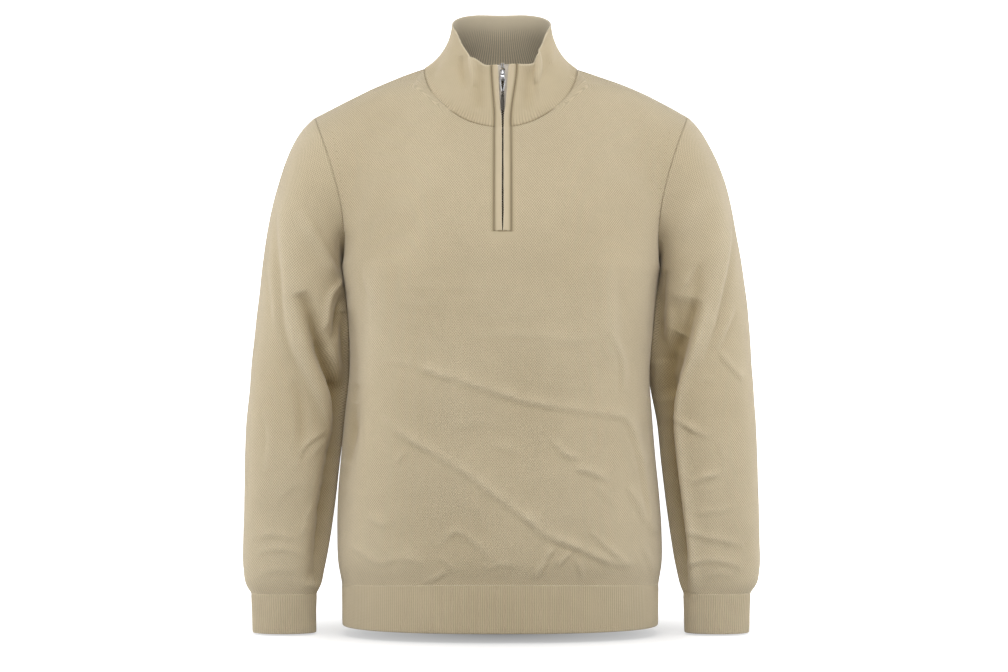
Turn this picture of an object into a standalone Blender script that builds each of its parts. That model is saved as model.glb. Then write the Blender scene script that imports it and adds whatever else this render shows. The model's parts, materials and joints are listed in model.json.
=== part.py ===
"""A quarter zip sweater, filled out as if worn, with nobody inside.

Every piece is what a maker would knit, cut and sew: front, back, two sleeves, stand collar,
hem rib, two cuffs, the zip's binding strips, tapes and stops, and its slider with a hanging pull.
Lengths are in millimetres and turn to metres where a mesh is made.  +Z is up, the front faces -Y,
and the wearer's left is +X.  The origin lies between the two neck points, where the shoulder
seams meet the collar, which is where a wearer holds the sweater up.
"""

import math
from typing import NamedTuple

import bpy
import bmesh
import numpy as np
from mathutils import Matrix, Vector
from mathutils.kdtree import KDTree

MM = 0.001

# ---------------------------------------------------------------- driving sizes
CLOTH = 2.0            # thickness of the knitted panels
SEAM = 0.3             # gap between pieces at a seam
TOUCH = 0.9            # gap between a sleeve and the side that it hangs against

NECK_POINT = (95.0, 5.0, 0.0)          # where shoulder seam and collar meet
SHOULDER_POINT = (231.5, 8.0, -60.5)   # where shoulder seam and sleeve meet
SHOULDER_CROWN = 4.0                   # the shoulder seam's rise over a straight line
ARMPIT_HEIGHT = -247.0
HOLE_LEAN = 0.3                        # how far an armhole's edge leans away from its middle
NECK_DROP = 78.5                       # front neckline below the neck points
NECK_FRONT, NECK_BACK = 77.0, 67.0     # neckline's reach ahead and behind
NECK_SQUARE, NAPE_SQUARE = 2.8, 2.2    # plan of the neckline, 2 is an ellipse
NECK_DIP = 1.15                        # how late the front neckline drops
NAPE_RISE = 6.0

HEM_JOIN, HEM_LIFT, HEM_BOTTOM = -641.0, 10.0, -690.0
CUFF_JOIN, CUFF_BOTTOM = -650.0, -699.0

ZIP_BOTTOM = -207.0                    # lower end of the zip's slot
RIB_PITCH, RIB_RISE = 2.7, 0.7         # one by one rib of collar, hem and cuffs
SAME_POINT = 0.05                      # points no further apart than this are one point of a seam

# ---------------------------------------------------------------- grids
NECK_CELLS, SHOULDER_CELLS, NAPE_CELLS = 7, 6, 5   # across one half of a panel
UPPER_ROWS = 11                                    # armpit to shoulder
SLEEVE_TOP_ROWS = 6                                # armhole to elbow ring
COLLAR_ROWS = 4
NECK_SHARE, STRAIGHT_SHARE = 0.52, 0.76            # of a half panel's width
EASE_COLUMNS, EASE_TIMES = 2.0, 6                  # easing of the cloth below a neck point
NECK_EASING = 3                                    # evening out of the neck seam's directions


class Section(NamedTuple):
    """One level section through the body, to the inner face of the cloth."""

    height: float
    right: float      # half width on the wearer's right
    left: float
    front: float      # depth ahead of the side seams
    back: float
    square: float     # 2 is an ellipse, more is squarer


BODY = (
    Section(HEM_BOTTOM, 195.0, 193.0, 114.0, 95.0, 2.4),
    Section(HEM_JOIN, 195.5, 193.5, 117.0, 97.0, 2.4),
    Section(-615.0, 200.0, 197.5, 124.0, 101.0, 2.4),
    Section(-575.0, 201.5, 197.5, 128.0, 103.0, 2.4),
    Section(-530.0, 200.5, 194.5, 131.0, 103.0, 2.45),
    Section(-480.0, 196.5, 189.5, 134.0, 103.0, 2.5),
    Section(-430.0, 192.0, 185.5, 137.0, 106.0, 2.5),
    Section(-380.0, 186.5, 182.5, 140.0, 112.0, 2.5),
    Section(-330.0, 186.5, 186.0, 142.0, 119.0, 2.5),
    Section(-285.0, 190.5, 190.5, 143.0, 124.0, 2.4),
    Section(-262.0, 193.5, 193.5, 142.5, 126.0, 2.35),
    Section(ARMPIT_HEIGHT, 196.0, 196.0, 142.0, 127.0, 2.3),
)
LOWER_HEIGHTS = (HEM_JOIN, -612.0, -575.0, -535.0, -492.0, -448.0, -404.0, -362.0, -322.0, -290.0, -266.0,
                 ARMPIT_HEIGHT)
HEM_LIFT_ENDS = LOWER_HEIGHTS[5]       # the front's hem curve dies out here


class Pull(NamedTuple):
    """How a panel's edge-to-shoulder lines leave the armpit level and arrive at the top."""

    across: float     # 0 at the centre, 1 at the armhole
    out_x: float
    out_y: float
    out_z: float
    in_x: float
    in_y: float
    in_z: float


FRONT_PULL = (
    Pull(0.00, 0.0, 0.0, 190.0, 0.0, 110.0, 145.0),
    Pull(0.30, 0.0, 0.0, 190.0, -10.0, 140.0, 125.0),
    Pull(0.52, 0.0, 0.0, 185.0, -30.0, 175.0, 78.0),
    Pull(0.76, -10.0, -30.0, 140.0, 0.0, 190.0, 50.0),
    Pull(1.00, -60.0, -230.0, 150.0, 30.0, 280.0, 60.0),
)
BACK_PULL = (
    Pull(0.00, 0.0, 0.0, 210.0, 0.0, -124.0, 150.0),
    Pull(0.30, 0.0, 0.0, 205.0, -10.0, -150.0, 120.0),
    Pull(0.52, 0.0, 0.0, 190.0, -30.0, -185.0, -8.0),
    Pull(0.76, -10.0, 30.0, 140.0, 0.0, -190.0, -8.0),
    Pull(1.00, -60.0, 250.0, 150.0, 30.0, -295.0, 50.0),
)


class ArmRing(NamedTuple):
    """One level ring of a sleeve, to the outer face of the cloth."""

    height: float
    inner_left: float     # nearest the body, wearer's left
    inner_right: float
    outer_left: float     # furthest from the body
    outer_right: float
    front: float          # y of its foremost point
    back: float


ARM = (
    ArmRing(-335.0, 182.0, 182.0, 309.0, 307.0, -58.0, 68.0),
    ArmRing(-390.0, 185.0, 188.0, 313.5, 311.5, -57.0, 61.0),
    ArmRing(-440.0, 194.0, 194.5, 316.5, 315.0, -56.0, 53.0),
    ArmRing(-490.0, 199.0, 200.5, 318.5, 317.5, -55.0, 45.0),
    ArmRing(-540.0, 205.0, 206.0, 320.0, 319.5, -53.0, 38.0),
    ArmRing(-585.0, 211.5, 212.5, 321.0, 320.5, -51.0, 31.0),
    ArmRing(-620.0, 218.0, 219.0, 321.5, 319.5, -48.0, 23.0),
    ArmRing(-640.0, 223.0, 223.5, 317.5, 315.5, -44.0, 15.0),
    ArmRing(CUFF_JOIN, 227.0, 228.5, 310.5, 309.5, -41.0, 11.0),
    ArmRing(CUFF_BOTTOM, 228.5, 229.5, 306.5, 306.5, -39.0, 9.0),
)
ARM_HEIGHTS = (-335.0, -372.0, -410.0, -448.0, -486.0, -524.0, -562.0, -598.0, -628.0, CUFF_JOIN)


class ArmPull(NamedTuple):
    """How a sleeve's lines leave the armhole and arrive at its first level ring."""

    leave: float      # how strongly they leave, in mm
    way_out: float    # and which way: away from the body
    way_up: float
    arrive: float     # how strongly they arrive


OUTER_ARM = ArmPull(210.0, 0.80, -0.60, 210.0)     # over the shoulder
INNER_ARM = ArmPull(60.0, 1.00, 0.15, 100.0)       # through the armpit
ARRIVE_STEP = 10.0                                 # the ring below that gives the lines' way in


class CollarTop(NamedTuple):
    """The collar's free edge at one turn round the neck, 0 at the zip and 180 at the nape."""

    turn: float
    height: float


COLLAR_TOP = (
    CollarTop(0.0, 1.0),
    CollarTop(22.0, 1.5),
    CollarTop(30.0, 7.0),
    CollarTop(45.0, 19.0),
    CollarTop(55.0, 29.0),
    CollarTop(65.0, 40.0),
    CollarTop(90.0, 56.0),
    CollarTop(110.0, 64.0),
    CollarTop(130.0, 70.0),
    CollarTop(150.0, 73.5),
    CollarTop(180.0, 74.0),
)
COLLAR_WIDTH, COLLAR_FRONT, COLLAR_BACK = 60.5, 59.0, 58.0   # half sizes of the free edge


class CollarPull(NamedTuple):
    """How the collar's lines leave the neckline and arrive at its free edge."""

    out_x: float      # away from the middle
    out_y: float
    out_z: float
    in_y: float
    in_z: float


COLLAR_SIDE = CollarPull(-58.0, 0.0, 38.0, 0.0, 75.0)       # at the neck points
COLLAR_AHEAD = CollarPull(0.0, 24.0, 68.0, 4.0, 70.0)       # at the zip
COLLAR_BEHIND = CollarPull(0.0, -8.0, 68.0, -10.0, 70.0)    # at the nape


class ZipEdge(NamedTuple):
    """Where the slot and the binding strips end, at one height down the zip."""

    height: float
    slot_right: float     # x of the panels' edges
    slot_left: float
    strip_right: float    # x of the strips' free edges
    strip_left: float


ZIP = (
    ZipEdge(5.0, -11.3, 18.8, -4.9, 10.0),
    ZipEdge(-14.0, -10.2, 15.8, -3.9, 8.6),
    ZipEdge(-37.0, -9.2, 13.6, -2.9, 7.2),
    ZipEdge(-50.0, -8.8, 13.0, -1.6, 5.8),
    ZipEdge(-66.0, -8.4, 12.5, 0.6, 3.8),
    ZipEdge(-80.0, -8.2, 12.2, 0.9, 3.4),
    ZipEdge(-150.0, -8.2, 12.2, 0.8, 3.3),
    ZipEdge(-195.0, -8.2, 12.2, 1.1, 3.0),
    ZipEdge(-207.0, -8.2, 12.2, 1.7, 2.3),
)
ZIP_CENTRE = 2.0
TAPE_WIDTH, TAPE_THICK, TAPE_BEHIND = 14.0, 1.0, 0.4
TAPES_PART_AT, TAPES_PART = -20.0, 1.6     # the tapes' inner edges spread above the slider, half gap

STOP_OUT, STOP_WIDTH, STOP_THICK = 1.5, 1.4, 1.6           # top stops, either side of the zip
STOP_TOP, STOP_BOTTOM = 3.5, -5.0
SLIDER_TOP, SLIDER_BOTTOM = -6.3, -19.8
SLIDER_WIDTH, SLIDER_FOOT, SLIDER_PLATE = 7.0, 5.4, 1.1    # widest, width at the foot, plate
SLIDER_WIDE_FROM, SLIDER_WIDE_TO, SLIDER_NOSE = 0.15, 0.30, 0.55   # where it is widest, and its nose's share
POST_WIDTH, POST_LONG, POST_POINT, POST_INSET = 1.0, 2.4, 0.6, 0.2
BRIDGE_WIDTH, BRIDGE_THICK, BRIDGE_ROOM = 2.0, 1.0, 2.0
BRIDGE_FOOT, BRIDGE_HEAD, BRIDGE_SLOPE = 0.3, 1.2, 2.6     # insets from the slider's ends, and its sloped top
BRIDGE_SUNK, BRIDGE_CORNER, BRIDGE_LEG = 0.3, 0.65, 1.6    # into the plate, its cut corner, its upper leg
PIVOT_UP, BAR_RADIUS = 2.45, 0.65      # the pull's crossbar, above the slider's foot
PULL_THICK, LINK_WIDTH, LINK_BAR, LINK_LONG = 1.2, 6.6, 0.9, 15.5
LINK_NECK = 3.0                                            # the link's width where it meets the ring
LINK_BEND, LINK_TAPER, LINK_TAPERED = 0.35, 0.68, 0.76     # shares of its length and width
LINK_TOP_ROOM = 1.0                                        # its opening's reach above the crossbar
HOLE_TAPERED, HOLE_FOOT, HOLE_ENDS = 0.66, 1.0, 0.92       # the opening's taper, foot width and length
RING_RADIUS, RING_HOLE, RING_LAP = 2.2, 1.1, 0.4
RING_OPEN = 50                                             # half the ring's visible arc, in degrees
TAB_WIDTH, TAB_LONG, TAB_LAP = 3.8, 20.3, 0.3
TAB_NECK, TAB_SHOULDER, TAB_CORNER = 2.6, 1.5, 1.2


FACING_GAIN, FACING_CUT = 1.6, 0.15    # a fold fades where the cloth turns away from its face
FOLD_FADE, FOLD_START = 4.0, 0.4       # how fast a fold rises at its ends, and from what share
FOLD_OVERRUN = 0.2                     # how far past its ends it is felt


class Fold(NamedTuple):
    """A soft ridge, or a trough where the height is negative, along a bowed line."""

    face: int          # -1 on the front, +1 on the back
    x0: float
    z0: float
    x1: float
    z1: float
    bow: float         # how far the line's middle lies off the straight, to its left
    width: float
    height: float


FOLDS = (
    Fold(-1, -140.0, -355.0, 135.0, -430.0, -8.0, 15.0, 3.2),
    Fold(-1, -140.0, -395.0, 130.0, -425.0, 6.0, 13.0, -1.6),
    Fold(-1, -140.0, -430.0, 120.0, -612.0, -14.0, 14.0, 3.4),
    Fold(-1, 55.0, -455.0, 145.0, -512.0, 4.0, 14.0, 2.4),
    Fold(-1, 150.0, -435.0, 182.0, -555.0, 6.0, 14.0, 2.6),
    Fold(-1, -274.0, -180.0, -212.0, -455.0, -8.0, 15.0, 4.0),
    Fold(-1, -238.0, -315.0, -200.0, -470.0, -6.0, 14.0, -5.0),
    Fold(-1, -195.0, -262.0, -224.0, -318.0, 6.0, 12.0, 3.6),
    Fold(-1, 272.0, -150.0, 214.0, -445.0, 14.0, 15.0, 3.6),
    Fold(-1, 245.0, -245.0, 226.0, -345.0, 5.0, 14.0, -4.5),
    Fold(1, -130.0, -300.0, 140.0, -370.0, 10.0, 16.0, 3.0),
    Fold(1, 150.0, -400.0, -120.0, -520.0, 12.0, 15.0, 3.2),
    Fold(1, -130.0, -560.0, 100.0, -600.0, -8.0, 14.0, 2.4),
    Fold(1, -268.0, -190.0, -225.0, -440.0, 10.0, 16.0, 4.0),
    Fold(1, 268.0, -200.0, 228.0, -450.0, -10.0, 16.0, 4.0),
)

# ---------------------------------------------------------------- colours
KNIT = ("fabric_khaki", (0.50, 0.42, 0.27, 1.0), 0.9, 0.0)
RIBBED = ("fabric_khaki_rib", (0.49, 0.41, 0.26, 1.0), 0.9, 0.0)
TAPE = ("fabric_tape", (0.36, 0.34, 0.31, 1.0), 0.8, 0.0)
CHROME = ("chrome", (0.80, 0.80, 0.80, 1.0), 0.15, 1.0)
DARK_METAL = ("dark_nickel", (0.22, 0.21, 0.21, 1.0), 0.3, 1.0)


# ---------------------------------------------------------------- small maths
def unit(vectors):
    """Vectors at length one."""
    length = np.linalg.norm(vectors, axis=-1, keepdims=True)
    return vectors / np.maximum(length, 1e-9)


def smooth(table, value, at):
    """A column of a table at any place, on a smooth curve through its rows."""
    keys = np.array([row[0] for row in table], float)
    values = np.array([getattr(row, value) for row in table], float)
    if keys[0] > keys[-1]:
        keys, values = keys[::-1], values[::-1]
    slopes = np.gradient(values, keys)
    at = np.clip(np.asarray(at, float), keys[0], keys[-1])
    k = np.clip(np.searchsorted(keys, at) - 1, 0, len(keys) - 2)
    gap = keys[k + 1] - keys[k]
    return hermite(values[k], values[k + 1], slopes[k] * gap, slopes[k + 1] * gap, (at - keys[k]) / gap)


def hermite(start, end, leave, arrive, t):
    """A cubic from start to end with the given velocities there."""
    t2, t3 = t * t, t * t * t
    return ((2 * t3 - 3 * t2 + 1) * start + (-2 * t3 + 3 * t2) * end
            + (t3 - 2 * t2 + t) * leave + (t3 - t2) * arrive)


def mirrored(point, side):
    """A point of the wearer's left moved to a side, +1 left or -1 right."""
    return np.array([point[0] * side, point[1], point[2]], float)


# ---------------------------------------------------------------- the body's form
def half_section(height, side, face):
    """Points of one quarter of a section, from the centre line to the side seam."""
    half = smooth(BODY, "left" if side > 0 else "right", height)
    depth = smooth(BODY, "front" if face < 0 else "back", height)
    power = 2.0 / smooth(BODY, "square", height)
    turn = np.linspace(0.0, math.pi / 2, 121)
    x = side * half * np.sin(turn) ** power
    y = face * depth * np.maximum(np.cos(turn), 0.0) ** power
    return np.stack([x, y, np.full_like(x, height)], axis=1)


def along(points, share):
    """The point at a share of a polyline's length."""
    steps = np.concatenate([[0.0], np.cumsum(np.linalg.norm(np.diff(points, axis=0), axis=1))])
    return np.array([np.interp(share * steps[-1], steps, points[:, k]) for k in range(3)])


def level_point(height, across, face):
    """A point of the body at or below the armpit, across from -1 to 1 in arc length."""
    side = 1 if across >= 0 else -1
    point = along(half_section(height, side, face), abs(across))
    if face < 0:
        rise = np.interp(height, (HEM_JOIN, HEM_LIFT_ENDS), (1.0, 0.0))
        point[2] += HEM_LIFT * rise * (1.0 - across ** 2)
    return point


def body_side(height, y):
    """How far out the body reaches at one depth, for the sleeves to hang clear of."""
    widths = []
    for side in ("left", "right"):
        half = smooth(BODY, side, height)
        depth = np.where(y < 0, smooth(BODY, "front", height), smooth(BODY, "back", height))
        square = smooth(BODY, "square", height)
        share = np.clip(np.abs(y) / depth, 0.0, 1.0)
        widths.append(half * (1.0 - share ** square) ** (1.0 / square))
    return widths


def neckline(turn, face):
    """A point of the neckline, turn 0 at the centre line and 90 at the neck point."""
    bend = math.radians(turn)
    out, ahead = math.sin(bend), max(0.0, math.cos(bend))
    square = NECK_SQUARE if face < 0 else NAPE_SQUARE
    reach = (1.0 - min(1.0, out) ** square) ** (1.0 / square)
    x, y, _ = NECK_POINT
    if face < 0:
        return np.array([x * out, y - NECK_FRONT * reach, -NECK_DROP * ahead ** NECK_DIP])
    return np.array([x * out, y + NECK_BACK * reach, NAPE_RISE * ahead])


def shoulder_seam(share):
    """A point of the shoulder seam, 0 at the neck point and 1 at the sleeve."""
    start, end = np.array(NECK_POINT), np.array(SHOULDER_POINT)
    point = start + (end - start) * share
    point[2] += SHOULDER_CROWN * 4 * share * (1 - share)
    return point


def slot_edge(side, row=-1):
    """How far the slot's edge lies from the front's middle, in one row of the zip's table."""
    return abs(ZIP[row].slot_left if side > 0 else ZIP[row].slot_right)


def slot_turn(side):
    """The neckline's turn at the slot's edge."""
    return math.degrees(math.asin(slot_edge(side) / NECK_POINT[0]))


def front_columns(side):
    """Shares across the front, from the slot's edge to the armhole."""
    rim = half_section(ARMPIT_HEIGHT, side, -1)
    start = slot_edge(side) / np.linalg.norm(np.diff(rim, axis=0), axis=1).sum()
    neck = np.linspace(start, NECK_SHARE, NECK_CELLS + 1)
    return np.concatenate([neck, np.linspace(NECK_SHARE, 1.0, SHOULDER_CELLS + 1)[1:]])


def back_columns():
    """Shares across the back, from the centre line to the armhole."""
    neck = np.linspace(0.0, NECK_SHARE, NAPE_CELLS + 1)
    return np.concatenate([neck, np.linspace(NECK_SHARE, 1.0, SHOULDER_CELLS + 1)[1:]])


def top_point(across, face, side, start):
    """Where a line across share ends, on the neckline or the shoulder seam."""
    if across <= NECK_SHARE + 1e-9:
        first = slot_turn(side) if face < 0 else 0.0
        share = (across - start) / (NECK_SHARE - start)
        point = neckline(first + (90.0 - first) * share, face)
    else:
        point = shoulder_seam((across - NECK_SHARE) / (1.0 - NECK_SHARE))
    return mirrored(point, side)


def upper_point(across, rise, face, side, start):
    """A point above the armpit level, rise 0 there and 1 at the top.

    Between the last straight line and the armhole it lies on a patch spanned by those two.
    """
    if STRAIGHT_SHARE < across < 1.0:
        share = (across - STRAIGHT_SHARE) / (1.0 - STRAIGHT_SHARE)
        both = np.array([[rise], [0.0]])
        last, hole = (upper_point(a, both, face, side, start) for a in (STRAIGHT_SHARE, 1.0))
        here, foot = last + (hole - last) * share
        rounding = level_point(ARMPIT_HEIGHT, across * side, face) - foot
        return here + rounding * hermite(1.0, 0.0, 0.0, 0.0, rise)
    table = FRONT_PULL if face < 0 else BACK_PULL
    low = level_point(ARMPIT_HEIGHT, across * side, face)
    high = top_point(across, face, side, start)
    leave = mirrored([smooth(table, f"out_{k}", across) for k in "xyz"], side)
    arrive = mirrored([smooth(table, f"in_{k}", across) for k in "xyz"], side)
    return hermite(low, high, leave, arrive, rise)


def upper_rises():
    """The rows above the armpit, one of them moved to the slot's lower end."""
    rises = np.linspace(0.0, 1.0, UPPER_ROWS + 1)
    columns = front_columns(1)
    test = np.linspace(0.0, 1.0, 401)
    heights = [upper_point(columns[0], t, -1, 1, columns[0])[2] for t in test]
    at = float(np.interp(ZIP_BOTTOM, heights, test))
    rises[int(np.argmin(np.abs(rises - at)))] = at
    return rises, at


def panel(face):
    """The grid of a front or back panel, hem row first, wearer's right first."""
    rises, _ = upper_rises()
    halves = []
    for side in (-1, 1):
        shares = front_columns(side) if face < 0 else back_columns()
        lower = [[level_point(h, a * side, face) for a in shares] for h in LOWER_HEIGHTS]
        upper = [[upper_point(a, r, face, side, shares[0]) for a in shares] for r in rises[1:]]
        halves.append(np.array(lower + upper))
    right, left = halves
    if face > 0:
        left = left[:, 1:]
    return relaxed(np.concatenate([right[:, ::-1], left], axis=1))


def relaxed(grid):
    """A panel with the corner at each neck point eased out of the cloth below it."""
    corner = SHOULDER_CELLS
    places = np.arange(grid.shape[1])
    near = np.exp(-((np.minimum(places, places[::-1]) - corner) / EASE_COLUMNS) ** 2)
    rows = np.arange(grid.shape[0]) - len(LOWER_HEIGHTS) + 1
    share = np.clip(rows / 2.0, 0.0, 1.0) * (rows < UPPER_ROWS)
    pull = (share[:, None] * near)[1:-1, 1:-1, None]
    for _ in range(EASE_TIMES):
        sides = (grid[1:-1, :-2] + grid[1:-1, 2:]) / 2
        grid[1:-1, 1:-1] += (sides - grid[1:-1, 1:-1]) * pull
    return grid


# ---------------------------------------------------------------- sleeves
def ring_turns():
    """The turns of a sleeve's columns, as many ahead of the arm as behind it."""
    ahead = np.linspace(0, 180, UPPER_ROWS + 1)
    return np.concatenate([ahead, ahead[1:-1] + 180])


def arm_ring(height, side):
    """A level ring of a sleeve, turn 0 outside, 90 in front, 180 nearest the body."""
    inner = smooth(ARM, "inner_left" if side > 0 else "inner_right", height) + CLOTH
    outer = smooth(ARM, "outer_left" if side > 0 else "outer_right", height) - CLOTH
    front, back = smooth(ARM, "front", height) + CLOTH, smooth(ARM, "back", height) - CLOTH
    middle, half = (inner + outer) / 2, (outer - inner) / 2
    centre, deep = (front + back) / 2, (back - front) / 2
    bend = np.radians(ring_turns())
    x, y = middle + half * np.cos(bend), centre - deep * np.sin(bend)
    return np.stack([x * side, y, np.full_like(x, height)], axis=1)


def clear_of_body(points, side):
    """Sleeve points moved out to hang just clear of the body's side."""
    for p in points.reshape(-1, 3):
        depth = ARMPIT_HEIGHT - p[2]
        if depth > 0:
            left, right = body_side(p[2], p[1])
            room = CLOTH * 2 + TOUCH * min(1.0, depth / 15.0)
            least = (left if side > 0 else right) + room
            p[0] = side * max(abs(p[0]), float(least))
    return points


def sleeve(side, front, back):
    """The grid of a sleeve from the armhole to the cuff, its columns round the arm."""
    column = -1 if side > 0 else 0
    ahead, behind = front[-UPPER_ROWS - 1:, column], back[-UPPER_ROWS - 1:, column]
    hole = np.concatenate([ahead[::-1], behind[1:-1]])
    elbow, below = arm_ring(ARM_HEIGHTS[0], side), arm_ring(ARM_HEIGHTS[0] - ARRIVE_STEP, side)
    inward = (1 - np.cos(np.radians(ring_turns())))[:, None] / 2
    pull = ArmPull(*(outer + (inner - outer) * inward for outer, inner in zip(OUTER_ARM, INNER_ARM)))
    leave = unit(np.hstack([side * pull.way_out, 0 * inward, pull.way_up])) * pull.leave
    arrive = unit(below - elbow) * pull.arrive
    rows = [hermite(hole, elbow, leave, arrive, t) for t in np.linspace(0, 1, SLEEVE_TOP_ROWS + 1)[:-1]]
    rows += [arm_ring(h, side) for h in ARM_HEIGHTS]
    grid = np.array(rows)
    clear_of_body(grid[1:], side)
    return grid[::-1] if side < 0 else grid[::-1][:, ::-1]


def cuff(side, sleeve_grid):
    """The grid of a cuff, hung from the sleeve's last ring."""
    low = arm_ring(CUFF_BOTTOM, side)
    return np.array([low if side < 0 else low[::-1], sleeve_grid[0]])


# ---------------------------------------------------------------- collar and hem
def collar():
    """The grid of the stand collar, base row first, from the zip's right edge round to its left."""
    columns = []
    for side, face in ((-1, -1), (-1, 1), (1, 1), (1, -1)):
        cells = NECK_CELLS if face < 0 else NAPE_CELLS
        first = slot_turn(side) if face < 0 else 0.0
        turns = np.linspace(first, 90.0, cells + 1)
        start = math.degrees(math.asin(slot_edge(side, 0) / COLLAR_WIDTH))
        part = []
        for turn in turns:
            base = mirrored(neckline(turn, face), side)
            up = start + (90.0 - start) * (turn - first) / (90.0 - first) if face < 0 else turn
            bend = math.radians(up)
            y = -COLLAR_FRONT * math.cos(bend) if face < 0 else COLLAR_BACK * math.cos(bend)
            height = smooth(COLLAR_TOP, "height", up if face < 0 else 180.0 - up)
            top = np.array([side * COLLAR_WIDTH * math.sin(bend), y, float(height)])
            aside = math.sin(math.radians(turn))
            ends = zip(COLLAR_SIDE, COLLAR_AHEAD if face < 0 else COLLAR_BEHIND)
            pull = CollarPull(*(a * aside + b * (1 - aside) for a, b in ends))
            leave = np.array([side * pull.out_x, pull.out_y, pull.out_z])
            arrive = np.array([0.0, pull.in_y, pull.in_z])
            part.append([hermite(base, top, leave, arrive, t) for t in np.linspace(0, 1, COLLAR_ROWS + 1)])
        part = np.array(part)
        if (side, face) in ((-1, 1), (1, -1)):
            part = part[::-1]
        columns.append(part if not columns else part[1:])
    return np.concatenate(columns).transpose(1, 0, 2)


def hem(front, back):
    """The grid of the hem rib, a ring hung from both panels' lower edges."""
    ring = np.concatenate([front[0], back[0][::-1][1:-1]])
    shares = np.concatenate([
        -front_columns(-1)[::-1], front_columns(1),
        back_columns()[::-1][1:], -back_columns()[1:-1]])
    faces = [-1] * len(front[0]) + [1] * (len(ring) - len(front[0]))
    low = []
    for share, face in zip(shares, faces):
        point = level_point(HEM_JOIN, share, face)
        scale = smooth(BODY, "left", HEM_BOTTOM) / smooth(BODY, "left", HEM_JOIN)
        low.append([point[0] * scale, point[1] * scale, HEM_BOTTOM])
    return np.array([low, ring])


# ---------------------------------------------------------------- outward directions
def outward(grid, ring):
    """Unit normals of a grid whose rows climb and whose columns run to the wearer's left."""
    across = np.roll(grid, -1, axis=1) - np.roll(grid, 1, axis=1)
    if not ring:
        across[:, 0] = grid[:, 1] - grid[:, 0]
        across[:, -1] = grid[:, -1] - grid[:, -2]
    up = np.gradient(grid, axis=0)
    return unit(np.cross(across, up))


def share_directions(grids, directions, holes, neck):
    """Where pieces meet at a seam, both take the mean of their directions.

    Round an armhole, where body and sleeve fold back on each other, the mean leans towards the
    way out from the hole's middle.  Round the neck it is evened out from point to point.
    """
    points = np.concatenate([g.reshape(-1, 3) for g in grids.values()])
    normals = np.concatenate([directions[n].reshape(-1, 3) for n in grids])
    tree = KDTree(len(points))
    for index, point in enumerate(points):
        tree.insert(Vector(point), index)
    tree.balance()
    shared = normals.copy()
    for index, point in enumerate(points):
        near = [hit[1] for hit in tree.find_range(Vector(point), SAME_POINT)]
        if len(near) > 1:
            shared[index] = unit(normals[near].sum(axis=0))
    for hole in holes:
        away = (hole - hole.mean(axis=0)) * (0.0, 1.0, 1.0)
        for point, lean in zip(hole, unit(away) * HOLE_LEAN):
            near = [hit[1] for hit in tree.find_range(Vector(point), SAME_POINT)]
            shared[near] = unit(normals[near].sum(axis=0) + lean)
    spots = [[hit[1] for hit in tree.find_range(Vector(point), SAME_POINT)] for point in neck]
    for _ in range(NECK_EASING):
        row = np.array([shared[near[0]] for near in spots])
        for near, way in zip(spots[1:-1], unit(row[:-2] + 2 * row[1:-1] + row[2:])):
            shared[near] = way
    start = 0
    for name, grid in grids.items():
        size = grid.shape[0] * grid.shape[1]
        directions[name] = shared[start:start + size].reshape(grid.shape)
        start += size
    return directions


def fold_height(point, normal):
    """How far the folds lift the cloth at a point."""
    total = 0.0
    for fold in FOLDS:
        facing = min(1.0, max(0.0, fold.face * normal[1] * FACING_GAIN - FACING_CUT))
        run = np.array([fold.x1 - fold.x0, fold.z1 - fold.z0])
        length = float(np.linalg.norm(run))
        run /= length
        off = np.array([point[0] - fold.x0, point[2] - fold.z0])
        share = float(off @ run) / length
        bow = fold.bow * 4 * share * (1 - share)
        aside = float(off[1] * run[0] - off[0] * run[1]) - bow
        if -FOLD_OVERRUN < share < 1 + FOLD_OVERRUN:
            ends = min(1.0, max(0.0, (0.5 - abs(share - 0.5)) * FOLD_FADE + FOLD_START))
            total += fold.height * facing * ends * math.exp(-(aside / fold.width) ** 2)
    return total


def folded(grids, directions):
    """Every grid lifted along its directions by the folds."""
    for name, grid in grids.items():
        flat, aim = grid.reshape(-1, 3), directions[name].reshape(-1, 3)
        lifts = np.array([fold_height(p, n) for p, n in zip(flat, aim)])
        grids[name] = (flat + aim * lifts[:, None]).reshape(grid.shape)
    return grids


# ---------------------------------------------------------------- walls
def drawn_back(grid, keep, ring):
    """How each point on a kept region's rim moves in, by half the seam."""
    rows, cols = grid.shape[:2]
    moves = np.zeros_like(grid)
    for i in range(rows):
        for j in range(cols):
            for di, dj in ((1, 0), (-1, 0), (0, 1), (0, -1)):
                cells = beside(i, j, di, dj, rows, cols, ring)
                kept = [keep[c] for c in cells if c is not None]
                if not any(kept) and cells:
                    back = (i - di, (j - dj) % cols if ring else j - dj)
                    if 0 <= back[0] < rows and 0 <= back[1] < cols:
                        moves[i, j] += unit(grid[back] - grid[i, j]) * SEAM / 2
    return moves


def beside(i, j, di, dj, rows, cols, ring):
    """The two cells on one side of a grid point, None past the grid's rim."""
    spots = []
    for k in (0, -1):
        ci, cj = (i + (0 if di > 0 else -1), j + k) if di else (i + k, j + (0 if dj > 0 else -1))
        if ring:
            cj %= cols
        inside = 0 <= ci < rows - 1 and (ring or 0 <= cj < cols - 1)
        spots.append((ci, cj) if inside else None)
    return spots


def between(grid, j, share, ring, straight=0):
    """A point in a column gap for every row, smooth above the straight rows."""
    cols = grid.shape[1]
    spots = [(j + k) % cols if ring else min(max(j + k, 0), cols - 1) for k in (-1, 0, 1, 2)]
    before, start, end, after = (grid[:, s] for s in spots)
    points = hermite(start, end, (end - before) / 2, (after - start) / 2, share)
    points[:straight] = (start + (end - start) * share)[:straight]
    return points


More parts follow.
